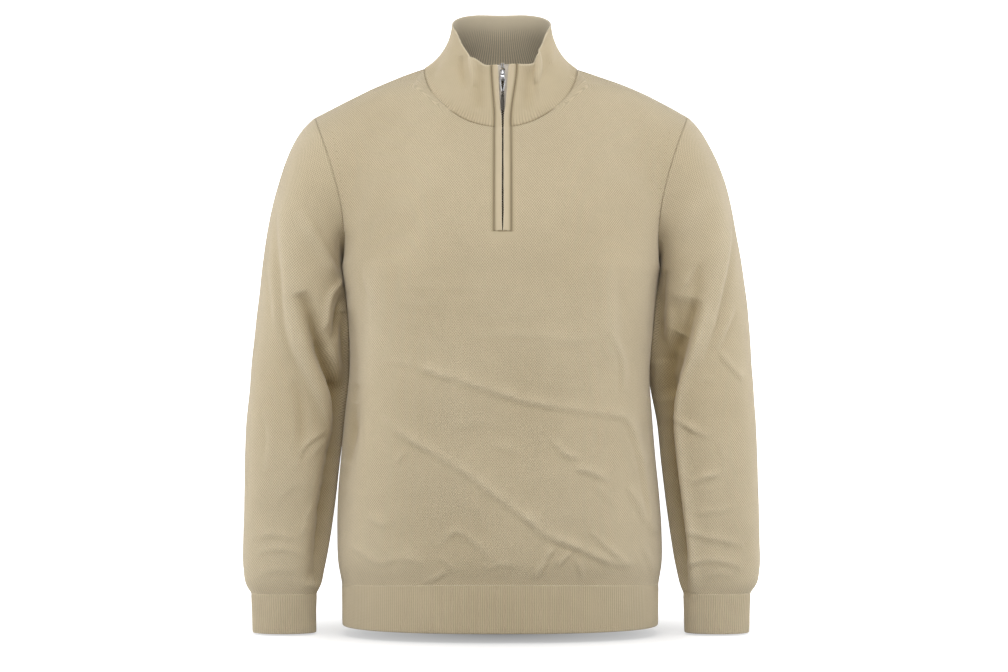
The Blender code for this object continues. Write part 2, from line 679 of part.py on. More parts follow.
def wall(name, grid, aim, colour, thick=CLOTH, keep=None, ring=False, ribs=None, straight=0):
    """A closed wall on a grid, plain inside, with ribs raised outside where asked."""
    rows, cols = grid.shape[:2]
    cells = cols if ring else cols - 1
    keep = np.ones((rows - 1, cells), bool) if keep is None else keep
    moved = grid + drawn_back(grid, keep, ring)
    ribs = ribs or [0] * cells
    mesh = bmesh.new()
    inner = [[mesh.verts.new(moved[i, j] * MM) for j in range(cols)] for i in range(rows)]
    outer = []      # for each cell, the outer points of its left edge and of what lies inside it
    for j in range(cells):
        parts = max(1, 2 * ribs[j])
        lines = []
        for k in range(parts):
            share = k / parts
            base = between(moved + aim * thick, j, share, ring, straight)
            way = unit(between(aim, j, share, ring, straight))
            lift = RIB_RISE if k % 2 else 0.0
            lines.append([mesh.verts.new(p) for p in (base + way * lift) * MM])
        outer.append(lines)
    if not ring:
        last = (moved[:, -1] + aim[:, -1] * thick) * MM
        outer.append([[mesh.verts.new(p) for p in last]])

    def line(j):
        return outer[j] + [outer[(j + 1) % len(outer)][0]]

    def rim(chain, a, b):
        for k in range(0, len(chain) - 2, 2):
            mesh.faces.new(chain[k:k + 3])
        valleys = chain[::2] if len(chain) > 2 else chain
        half = len(valleys) // 2
        for k in range(len(valleys) - 1):
            mesh.faces.new((valleys[k], valleys[k + 1], a if k < half else b))
        mesh.faces.new((a, valleys[half], b))

    for i in range(rows - 1):
        for j in range(cells):
            if not keep[i, j]:
                continue
            n = (j + 1) % cols
            mesh.faces.new((inner[i][j], inner[i + 1][j], inner[i + 1][n], inner[i][n]))
            strips = line(j)
            for a, b in zip(strips, strips[1:]):
                mesh.faces.new((a[i], b[i], b[i + 1], a[i + 1]))
            if i == 0 or not keep[i - 1, j]:
                rim([s[i] for s in strips][::-1], inner[i][n], inner[i][j])
            if i == rows - 2 or not keep[i + 1, j]:
                rim([s[i + 1] for s in strips], inner[i + 1][j], inner[i + 1][n])
            if not ring and (j == 0 or not keep[i, j - 1]):
                a, b = strips[0][i], strips[0][i + 1]
                mesh.faces.new((a, b, inner[i + 1][j], inner[i][j]))
            if not ring and (j == cells - 1 or not keep[i, j + 1]):
                a, b = strips[-1][i], strips[-1][i + 1]
                mesh.faces.new((b, a, inner[i][n], inner[i + 1][n]))
    loose = [v for v in mesh.verts if not v.link_faces]
    bmesh.ops.delete(mesh, geom=loose, context="VERTS")
    bmesh.ops.recalc_face_normals(mesh, faces=mesh.faces)
    bmesh.ops.triangulate(mesh, faces=mesh.faces)
    return placed(name, mesh, colour)


def rib_counts(grid, ring):
    """How many ribs lie in each column gap, at the real pitch half way up."""
    middle = (grid[0] + grid[-1]) / 2
    ends = np.roll(middle, -1, axis=0)
    widths = np.linalg.norm(ends - middle, axis=1)
    widths = widths if ring else widths[:-1]
    return [max(1, round(w / RIB_PITCH)) for w in widths]


# ---------------------------------------------------------------- the zip
def zip_lines(grids, directions, first):
    """The cloth's edge rows at the slot: the last two points on each side, with their directions."""
    column = NECK_CELLS + SHOULDER_CELLS
    found = []
    for source in (grids, directions):
        front = source["front"][first:, column - 1:column + 3]
        found.append(np.concatenate([front, source["collar"][1:][:, [1, 0, -1, -2]]]))
    return found


def on_lines(lines, xs):
    """The points of every edge row at the given x values, one for each row."""
    return np.array([[np.interp(x, row[:, 0], row[:, k]) for k in range(3)] for row, x in zip(lines, xs)])


def zip_grid(lines, aims, columns):
    """A grid that crosses the slot, from its columns' x values, and its directions."""
    grid = np.stack([on_lines(lines, xs) for xs in columns], axis=1)
    ways = []
    for xs in columns:
        shares = [np.array([[np.interp(x, row[:, 0], way[:, k]) for k in range(3)]])
                  for row, way, x in zip(lines, aims, xs)]
        ways.append(unit(np.concatenate(shares)))
    return grid, np.stack(ways, axis=1)


def zip_cloth(lines, aims):
    """The binding strips beside the zip, and the tapes behind them."""
    heights = lines[:, 1, 2]
    edge = {side: smooth(ZIP, f"strip_{side}", heights) for side in ("right", "left")}
    wall("zip_binding_right", *zip_grid(lines, aims, [lines[:, 1, 0], edge["right"]]), KNIT)
    wall("zip_binding_left", *zip_grid(lines, aims, [edge["left"], lines[:, 2, 0]]), KNIT)
    spread = np.interp(heights, (TAPES_PART_AT, lines[-1, 1, 2]), (0.0, TAPES_PART))
    for name, side in (("right", -1), ("left", 1)):
        outs = [spread, np.full_like(spread, TAPE_WIDTH / 2), np.full_like(spread, TAPE_WIDTH)]
        columns = [ZIP_CENTRE + side * out for out in outs][::side]
        grid, ways = zip_grid(lines, aims, columns)
        wall(f"zip_tape_{name}", grid - ways * (TAPE_BEHIND + TAPE_THICK), ways, TAPE, thick=TAPE_THICK)


def zip_place(lines, height):
    """The zip's middle at a height, on the cloth's inner face."""
    middle = on_lines(lines, np.full(len(lines), ZIP_CENTRE))
    return Vector([ZIP_CENTRE] + [float(np.interp(height, middle[:, 2], middle[:, k])) for k in (1, 2)])


def zip_turn(lines, high, low):
    """The lean of the zip between two heights, as a turn about X."""
    run = zip_place(lines, high) - zip_place(lines, low)
    return -math.atan2(run.y, run.z)


def slab(outline, thick, across="Y"):
    """A flat plate of an outline, thick along Y, or along X for an outline of (y, z) points."""
    mesh = bmesh.new()
    if across == "Y":
        corners = [mesh.verts.new((x * MM, -thick / 2 * MM, z * MM)) for x, z in outline]
        push = (0.0, thick * MM, 0.0)
    else:
        corners = [mesh.verts.new((-thick / 2 * MM, y * MM, z * MM)) for y, z in outline]
        push = (thick * MM, 0.0, 0.0)
    face = mesh.faces.new(corners)
    raised = bmesh.ops.extrude_face_region(mesh, geom=[face])["geom"]
    bmesh.ops.translate(mesh, vec=push, verts=[v for v in raised if isinstance(v, bmesh.types.BMVert)])
    bmesh.ops.recalc_face_normals(mesh, faces=mesh.faces)
    return mesh


def rod(radius, length, sides=12):
    """A round bar along X."""
    mesh = bmesh.new()
    turn = Matrix.Rotation(math.pi / 2, 4, "Y")
    bmesh.ops.create_cone(mesh, cap_ends=True, segments=sides, radius1=radius * MM, radius2=radius * MM,
                          depth=length * MM, matrix=turn)
    return mesh


def arc(radius, start, end, steps, x=0.0, z=0.0):
    """Points of an arc, angles in degrees from +X."""
    turns = [math.radians(start + (end - start) * k / steps) for k in range(steps + 1)]
    return [(x + radius * math.cos(t), z + radius * math.sin(t)) for t in turns]


def joined(whole, tools, how="UNION"):
    """Solids added to, or cut from, a piece, each tool kept hidden."""
    for tool in tools:
        change = whole.modifiers.new(tool.name, "BOOLEAN")
        change.operation = how
        change.object = tool


def zip_stops(lines):
    """The two metal stops at the tapes' upper ends."""
    middle, length = (STOP_TOP + STOP_BOTTOM) / 2, STOP_TOP - STOP_BOTTOM
    near = min(middle, float(lines[-1, 1, 2]) - 1.0)
    for name, side in (("right", -1), ("left", 1)):
        half = STOP_WIDTH / 2
        outline = [(-half, -length / 2), (half, -length / 2), (half, length / 2 - half)]
        outline += arc(half, 0, 180, 4, 0.0, length / 2 - half)[1:]
        stop = placed(f"zip_stop_{name}", slab(outline, STOP_THICK), CHROME)
        seat(stop, lines, near, side * STOP_OUT, STOP_THICK / 2 - TAPE_BEHIND + SEAM,
             zip_turn(lines, near, near - 12.0), (middle - near))


def seat(piece, lines, height, aside, proud, turn, along_zip=0.0):
    """A piece set on the zip's middle line, proud of the cloth's inner face."""
    rotation = Matrix.Rotation(turn, 4, "X")
    shift = rotation @ Vector((aside, -proud, along_zip))
    piece.location = (zip_place(lines, height) + shift) * MM
    piece.rotation_euler = (turn, 0.0, 0.0)


def slider(lines):
    """The slider: front and back plates on one post, with a bridge that the pull hangs on."""
    middle, length = (SLIDER_TOP + SLIDER_BOTTOM) / 2, SLIDER_TOP - SLIDER_BOTTOM
    turn = zip_turn(lines, SLIDER_TOP, SLIDER_BOTTOM)
    top, wide, foot = length / 2, SLIDER_WIDTH / 2, SLIDER_FOOT / 2
    half = [(foot, -top), (wide, SLIDER_WIDE_FROM * length), (wide, SLIDER_WIDE_TO * length),
            (wide * SLIDER_NOSE, top)]
    outline = half + [(-x, z) for x, z in reversed(half)]
    front = placed("zip_slider", slab(outline, SLIDER_PLATE), CHROME)
    face = SLIDER_PLATE / 2 - TAPE_BEHIND + SEAM
    seat(front, lines, middle, 0.0, face, turn)

    behind = TAPE_BEHIND + TAPE_THICK + SEAM + SLIDER_PLATE / 2
    back = tool_solid("slider_back", slab(outline, SLIDER_PLATE))
    seat(back, lines, middle, 0.0, -behind, turn)
    aside, foot_of_post, head_of_post = POST_WIDTH / 2, top - POST_LONG, top - POST_INSET
    post_outline = [(-aside, foot_of_post), (0.0, foot_of_post - POST_POINT), (aside, foot_of_post),
                    (aside, head_of_post), (-aside, head_of_post)]
    post = tool_solid("slider_post", slab(post_outline, face + behind))
    seat(post, lines, middle, 0.0, (face - behind) / 2, turn)

    low, high, rise = -top + BRIDGE_FOOT, top - BRIDGE_HEAD, BRIDGE_ROOM + BRIDGE_THICK
    bridge_outline = [
        (BRIDGE_SUNK, low), (-rise + BRIDGE_CORNER, low), (-rise, low + BRIDGE_CORNER),
        (-rise, high - BRIDGE_SLOPE), (BRIDGE_SUNK, high), (BRIDGE_SUNK, high - BRIDGE_LEG),
        (-BRIDGE_ROOM, high - 2 * BRIDGE_LEG), (-BRIDGE_ROOM, low + BRIDGE_THICK),
        (BRIDGE_SUNK, low + BRIDGE_THICK)]
    bridge = tool_solid("slider_bridge", slab(bridge_outline, BRIDGE_WIDTH, "X"))
    seat(bridge, lines, middle, 0.0, face + SLIDER_PLATE / 2, turn)
    joined(front, (back, post, bridge))
    return face + SLIDER_PLATE / 2


def pull(lines, plate_face):
    """The hanging pull: crossbar, stirrup-shaped link, ring and tab, its origin on the crossbar."""
    height = SLIDER_BOTTOM + PIVOT_UP
    proud = plate_face + BAR_RADIUS + SEAM
    low = height - LINK_LONG - RING_RADIUS * 2 - TAB_LONG
    turn = zip_turn(lines, height, low)
    half, tab, ring_at = LINK_WIDTH / 2, TAB_WIDTH / 2, -LINK_LONG - RING_RADIUS + RING_LAP
    tab_top, tab_end = ring_at - RING_RADIUS + TAB_LAP, ring_at - RING_RADIUS - TAB_LONG
    bend, taper = -LINK_LONG * LINK_BEND, -LINK_LONG * LINK_TAPER
    side = [(half, 0.0), (half, bend), (half * LINK_TAPERED, taper), (LINK_NECK / 2, -LINK_LONG)]
    side += arc(RING_RADIUS, RING_OPEN, -RING_OPEN, 4, 0.0, ring_at)
    side += [(TAB_NECK / 2, tab_top), (tab, tab_top - TAB_SHOULDER), (tab, tab_end + TAB_CORNER),
             (tab - TAB_CORNER, tab_end)]
    outline = side + [(-x, z) for x, z in reversed(side)]
    whole = placed("zip_pull", slab(outline, PULL_THICK), DARK_METAL)
    inner = half - LINK_BAR
    hole = [(inner, LINK_TOP_ROOM), (inner, bend), (inner * HOLE_TAPERED, taper),
            (HOLE_FOOT / 2, -LINK_LONG * HOLE_ENDS)]
    cuts = [tool_solid("link_hole", slab(hole + [(-x, z) for x, z in reversed(hole)], PULL_THICK * 2)),
            tool_solid("ring_hole", slab(arc(RING_HOLE, 0, 315, 7, 0.0, ring_at), PULL_THICK * 2))]
    bar = tool_solid("pull_crossbar", rod(BAR_RADIUS, LINK_WIDTH))
    for piece in [whole, bar] + cuts:
        seat(piece, lines, height, 0.0, proud, turn)
    joined(whole, cuts, "DIFFERENCE")
    joined(whole, [bar])


# ---------------------------------------------------------------- objects
def tool_solid(name, mesh):
    """A solid that only shapes another piece, kept out of sight."""
    made = placed(name, mesh, CHROME, "shaping_tools")
    made.hide_render = True
    made.display_type = "WIRE"
    return made


def material(colour):
    """The Principled material of a finish, made once."""
    name, base, rough, metal = colour
    found = bpy.data.materials.get(name)
    if found:
        return found
    made = bpy.data.materials.new(name)
    made.use_nodes = True
    shader = made.node_tree.nodes["Principled BSDF"]
    shader.inputs["Base Color"].default_value = base
    shader.inputs["Roughness"].default_value = rough
    shader.inputs["Metallic"].default_value = metal
    made.diffuse_color = base
    return made


def placed(name, mesh, colour, group="quarter_zip_sweater"):
    """A new object in a collection, from a bmesh in metres."""
    data = bpy.data.meshes.new(name)
    mesh.to_mesh(data)
    mesh.free()
    data.materials.append(material(colour))
    made = bpy.data.objects.new(name, data)
    bpy.data.collections[group].objects.link(made)
    return made


def main():
    for old in list(bpy.data.objects):
        bpy.data.objects.remove(old, do_unlink=True)
    for group in ("quarter_zip_sweater", "shaping_tools"):
        bpy.context.scene.collection.children.link(bpy.data.collections.new(group))

    front, back = panel(-1), panel(1)
    sleeves = {side: sleeve(side, front, back) for side in (-1, 1)}
    grids = {
        "front": front, "back": back, "collar": collar(), "hem_rib": hem(front, back),
        "sleeve_left": sleeves[1], "sleeve_right": sleeves[-1],
        "cuff_left": cuff(1, sleeves[1]), "cuff_right": cuff(-1, sleeves[-1]),
    }
    rings = {"hem_rib", "sleeve_left", "sleeve_right", "cuff_left", "cuff_right"}
    directions = {n: outward(g, n in rings) for n, g in grids.items()}
    directions["back"] *= -1
    directions["collar"] *= -1
    holes = [s[-1] for s in sleeves.values()]
    directions = share_directions(grids, directions, holes, grids["collar"][0])
    grids = folded(grids, directions)

    rises, slot = upper_rises()
    keep = np.ones((front.shape[0] - 1, front.shape[1] - 1), bool)
    first = len(LOWER_HEIGHTS) - 1 + int(np.argmin(np.abs(rises - slot)))
    keep[first:, NECK_CELLS + SHOULDER_CELLS] = False
    wall("front", grids["front"], directions["front"], KNIT, keep=keep)
    wall("back", grids["back"], directions["back"], KNIT)
    for name in ("sleeve_left", "sleeve_right"):
        wall(name, grids[name], directions[name], KNIT, ring=True)
    for name in ("hem_rib", "cuff_left", "cuff_right"):
        wall(name, grids[name], directions[name], RIBBED, ring=True, ribs=rib_counts(grids[name], True))
    wall("collar", grids["collar"], directions["collar"], RIBBED, ribs=rib_counts(grids["collar"], False),
         straight=1)

    lines, aims = zip_lines(grids, directions, first)
    zip_cloth(lines, aims)
    zip_stops(lines)
    plate_face = slider(lines)
    pull(lines, plate_face)


main()
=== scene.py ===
"""Looks of a quarter zip sweater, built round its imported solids.

The cloth is repeated here from the garment's own sizes as fine walls with creases, ribs, rolled
edges and sewn seams.  The zip gets its teeth, stitching and finished metal.  Lengths are in
millimetres until a mesh is made.  +Z is up, the front faces -Y and the wearer's left is +X.
"""

import json
import logging
import math
from collections.abc import Callable
from dataclasses import dataclass, field
from enum import Enum
from typing import NamedTuple

import bmesh
import bpy
import numpy as np
from mathutils import Matrix, Vector, noise
from mathutils.kdtree import KDTree

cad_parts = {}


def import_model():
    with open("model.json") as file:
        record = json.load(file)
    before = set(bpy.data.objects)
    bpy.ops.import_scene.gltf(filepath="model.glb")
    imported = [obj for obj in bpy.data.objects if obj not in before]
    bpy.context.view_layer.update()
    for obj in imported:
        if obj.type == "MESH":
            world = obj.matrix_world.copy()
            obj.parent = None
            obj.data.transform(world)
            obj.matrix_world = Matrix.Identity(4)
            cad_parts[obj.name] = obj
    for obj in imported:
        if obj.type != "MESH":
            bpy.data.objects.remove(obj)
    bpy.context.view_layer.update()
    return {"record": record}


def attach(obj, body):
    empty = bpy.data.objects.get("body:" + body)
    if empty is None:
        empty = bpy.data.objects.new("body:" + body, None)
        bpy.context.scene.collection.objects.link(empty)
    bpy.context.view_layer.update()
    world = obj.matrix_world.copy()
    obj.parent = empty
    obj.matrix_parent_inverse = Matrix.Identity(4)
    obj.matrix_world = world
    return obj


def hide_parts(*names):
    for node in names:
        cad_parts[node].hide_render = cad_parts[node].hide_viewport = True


log = logging.getLogger("sweater")

MM = 0.001

# ---------------------------------------------------------------- driving sizes
CLOTH = 2.0                            # thickness of the knitted panels
ROUND_EDGE = 1.3                       # how far in from its edge a panel is rounded
LINKED_EDGE = 0.35                     # the same where a band is linked on
NECK_POINT = (95.0, 5.0, 0.0)          # where shoulder seam and collar meet
SHOULDER_POINT = (231.5, 8.0, -60.5)   # where shoulder seam and sleeve meet
SHOULDER_CROWN = 4.0
ARMPIT_HEIGHT = -247.0
HOLE_LEAN = 0.3
NECK_DROP = 78.5
NECK_FRONT, NECK_BACK = 77.0, 67.0
NECK_SQUARE, NAPE_SQUARE = 2.8, 2.2
NECK_DIP = 1.15
NAPE_RISE = 6.0
HEM_JOIN, HEM_LIFT, HEM_BOTTOM = -641.0, 10.0, -690.0
HEM_LIFT_ENDS = -448.0
CUFF_JOIN, CUFF_BOTTOM = -650.0, -699.0
ZIP_BOTTOM, ZIP_CENTRE = -207.0, 2.0
RIB_PITCH = 2.7
NECK_SHARE, STRAIGHT_SHARE = 0.52, 0.76
TOUCH = 0.15                           # gap between a sleeve and the side that it hangs against
SLEEVE_RING = -335.0                   # the first level ring of a sleeve
COLLAR_RISE, BAND_RISE = 0.55, 0.6     # height of the wales of the collar, and of hem and cuffs
ZIP_SEAM_PAINTED_SHADE, ZIP_SEAM_REACH = 0.82, 2.3   # painted shade: how dark the cloth is drawn along the zip's edges, and how far
EYE = (3.7, -3300.0, -332.0)           # where a viewer in front stands
EDGE_STEPS = (0.05, 0.16, 0.38)        # shares of the last cell where more rows round its edge
SLOW_WAVES = ((95.0, 3.7, 2.2), (38.0, 9.1, 0.7))    # reach, shift and height

Numbers = float | np.ndarray
Fed = bpy.types.NodeSocket | float | tuple           # what a shader socket takes


class Named(Enum):
    """An option whose name is also a table's column or part of a piece's name."""

    @property
    def word(self) -> str:
        """The name in lower case."""
        return self.name.lower()


class Side(Named):
    """A side of the garment, as its wearer has it."""

    RIGHT = -1
    LEFT = 1


class Face(Named):
    """The front or the back of the garment."""

    FRONT = -1
    BACK = 1


SLOT = {Side.RIGHT: 8.2, Side.LEFT: 12.2}    # half widths of the zip's slot in the front panel


class Section(NamedTuple):
    """One level section through the body, to the inner face of the cloth."""

    height: float
    right: float
    left: float
    front: float
    back: float
    square: float


BODY = (
    Section(-690.0, 195.0, 193.0, 114.0, 95.0, 2.4),
    Section(-641.0, 195.5, 193.5, 117.0, 97.0, 2.4),
    Section(-615.0, 200.0, 197.5, 124.0, 101.0, 2.4),
    Section(-575.0, 201.5, 197.5, 128.0, 103.0, 2.4),
    Section(-530.0, 200.5, 194.5, 131.0, 103.0, 2.45),
    Section(-480.0, 196.5, 189.5, 134.0, 103.0, 2.5),
    Section(-430.0, 192.0, 185.5, 137.0, 106.0, 2.5),
    Section(-380.0, 186.5, 182.5, 140.0, 112.0, 2.5),
    Section(-330.0, 186.5, 186.0, 142.0, 119.0, 2.5),
    Section(-285.0, 190.5, 190.5, 143.0, 124.0, 2.4),
    Section(-262.0, 193.5, 193.5, 142.5, 126.0, 2.35),
    Section(-247.0, 196.0, 196.0, 142.0, 127.0, 2.3),
)


class Pull(NamedTuple):
    """How a panel's lines leave the armpit level and arrive at the top."""

    across: float
    out_x: float
    out_y: float
    out_z: float
    in_x: float
    in_y: float
    in_z: float


FRONT_PULL = (
    Pull(0.00, 0.0, 0.0, 190.0, 0.0, 110.0, 145.0),
    Pull(0.30, 0.0, 0.0, 190.0, -10.0, 140.0, 125.0),
    Pull(0.52, 0.0, 0.0, 185.0, -30.0, 175.0, 78.0),
    Pull(0.76, -10.0, -30.0, 140.0, 0.0, 190.0, 50.0),
    Pull(1.00, -60.0, -230.0, 150.0, 30.0, 280.0, 60.0),
)
BACK_PULL = (
    Pull(0.00, 0.0, 0.0, 210.0, 0.0, -124.0, 150.0),
    Pull(0.30, 0.0, 0.0, 205.0, -10.0, -150.0, 120.0),
    Pull(0.52, 0.0, 0.0, 190.0, -30.0, -185.0, -8.0),
    Pull(0.76, -10.0, 30.0, 140.0, 0.0, -190.0, -8.0),
    Pull(1.00, -60.0, 250.0, 150.0, 30.0, -295.0, 50.0),
)


class ArmRing(NamedTuple):
    """One level ring of a sleeve, to the outer face of the cloth."""

    height: float
    inner_left: float
    inner_right: float
    outer_left: float
    outer_right: float
    front: float
    back: float


ARM = (
    ArmRing(-335.0, 182.0, 182.0, 309.0, 307.0, -58.0, 68.0),
    ArmRing(-390.0, 185.0, 188.0, 313.5, 311.5, -57.0, 61.0),
    ArmRing(-440.0, 194.0, 194.5, 316.5, 315.0, -56.0, 53.0),
    ArmRing(-490.0, 199.0, 200.5, 318.5, 317.5, -55.0, 45.0),
    ArmRing(-540.0, 205.0, 206.0, 320.0, 319.5, -53.0, 38.0),
    ArmRing(-585.0, 211.5, 212.5, 321.0, 320.5, -51.0, 31.0),
    ArmRing(-620.0, 218.0, 219.0, 321.5, 319.5, -48.0, 23.0),
    ArmRing(-640.0, 223.0, 223.5, 317.5, 315.5, -44.0, 15.0),
    ArmRing(-650.0, 227.0, 228.5, 310.5, 309.5, -41.0, 11.0),
    ArmRing(-699.0, 228.5, 229.5, 306.5, 306.5, -39.0, 9.0),
)


class CollarTop(NamedTuple):
    """The collar's free edge at one turn round the neck, 0 at the zip and 180 at the nape."""

    turn: float
    right: float
    left: float


COLLAR_TOP = (
    CollarTop(0.0, 1.0, 1.5),
    CollarTop(20.0, 0.8, 1.2),
    CollarTop(30.0, 8.0, 1.5),
    CollarTop(37.5, 11.7, 2.6),
    CollarTop(41.0, 15.0, 4.5),
    CollarTop(43.5, 17.5, 13.0),
    CollarTop(47.0, 21.0, 18.0),
    CollarTop(55.0, 30.0, 26.5),
    CollarTop(64.0, 41.0, 39.0),
    CollarTop(90.0, 56.0, 56.0),
    CollarTop(110.0, 64.0, 64.0),
    CollarTop(130.0, 70.0, 70.0),
    CollarTop(150.0, 73.5, 73.5),
    CollarTop(180.0, 74.0, 74.0),
)
COLLAR_WIDTH, COLLAR_FRONT, COLLAR_BACK = 60.5, 59.0, 58.0


class ZipEdge(NamedTuple):
    """Where the slot and the binding strips end, at one height down the zip."""

    height: float
    slot_right: float
    slot_left: float
    strip_right: float
    strip_left: float


ZIP = (
    ZipEdge(5.0, -11.3, 18.8, -3.9, 9.4),
    ZipEdge(-14.0, -10.2, 15.8, -2.7, 7.9),
    ZipEdge(-37.0, -9.2, 13.6, -1.8, 6.4),
    ZipEdge(-50.0, -8.8, 13.0, -0.8, 5.0),
    ZipEdge(-66.0, -8.4, 12.5, 0.8, 3.5),
    ZipEdge(-80.0, -8.2, 12.2, 1.1, 3.2),
    ZipEdge(-150.0, -8.2, 12.2, 1.1, 3.1),
    ZipEdge(-195.0, -8.2, 12.2, 1.3, 2.9),
    ZipEdge(-207.0, -8.2, 12.2, 1.7, 2.3),
)


@dataclass(frozen=True)
class Crease:
    """A soft fold of the cloth, drawn as the line of its dark side.

    Its crest lies to the left of the line's run, and its steep side to the right.  A steep share
    of 1 makes an even fold about the line.
    """

    face: Face
    line: tuple[tuple[float, float], ...]     # x and z, as the viewer in front sees them
    rise: float
    wide: float                               # reach of the gentle side
    steep: float = 0.36                       # the steep side's share of that reach


def folds(face: Face, *rows: tuple) -> tuple[Crease, ...]:
    """Creases on one face, each from its line, rise, reach and steep share."""
    return tuple(Crease(face, *row) for row in rows)


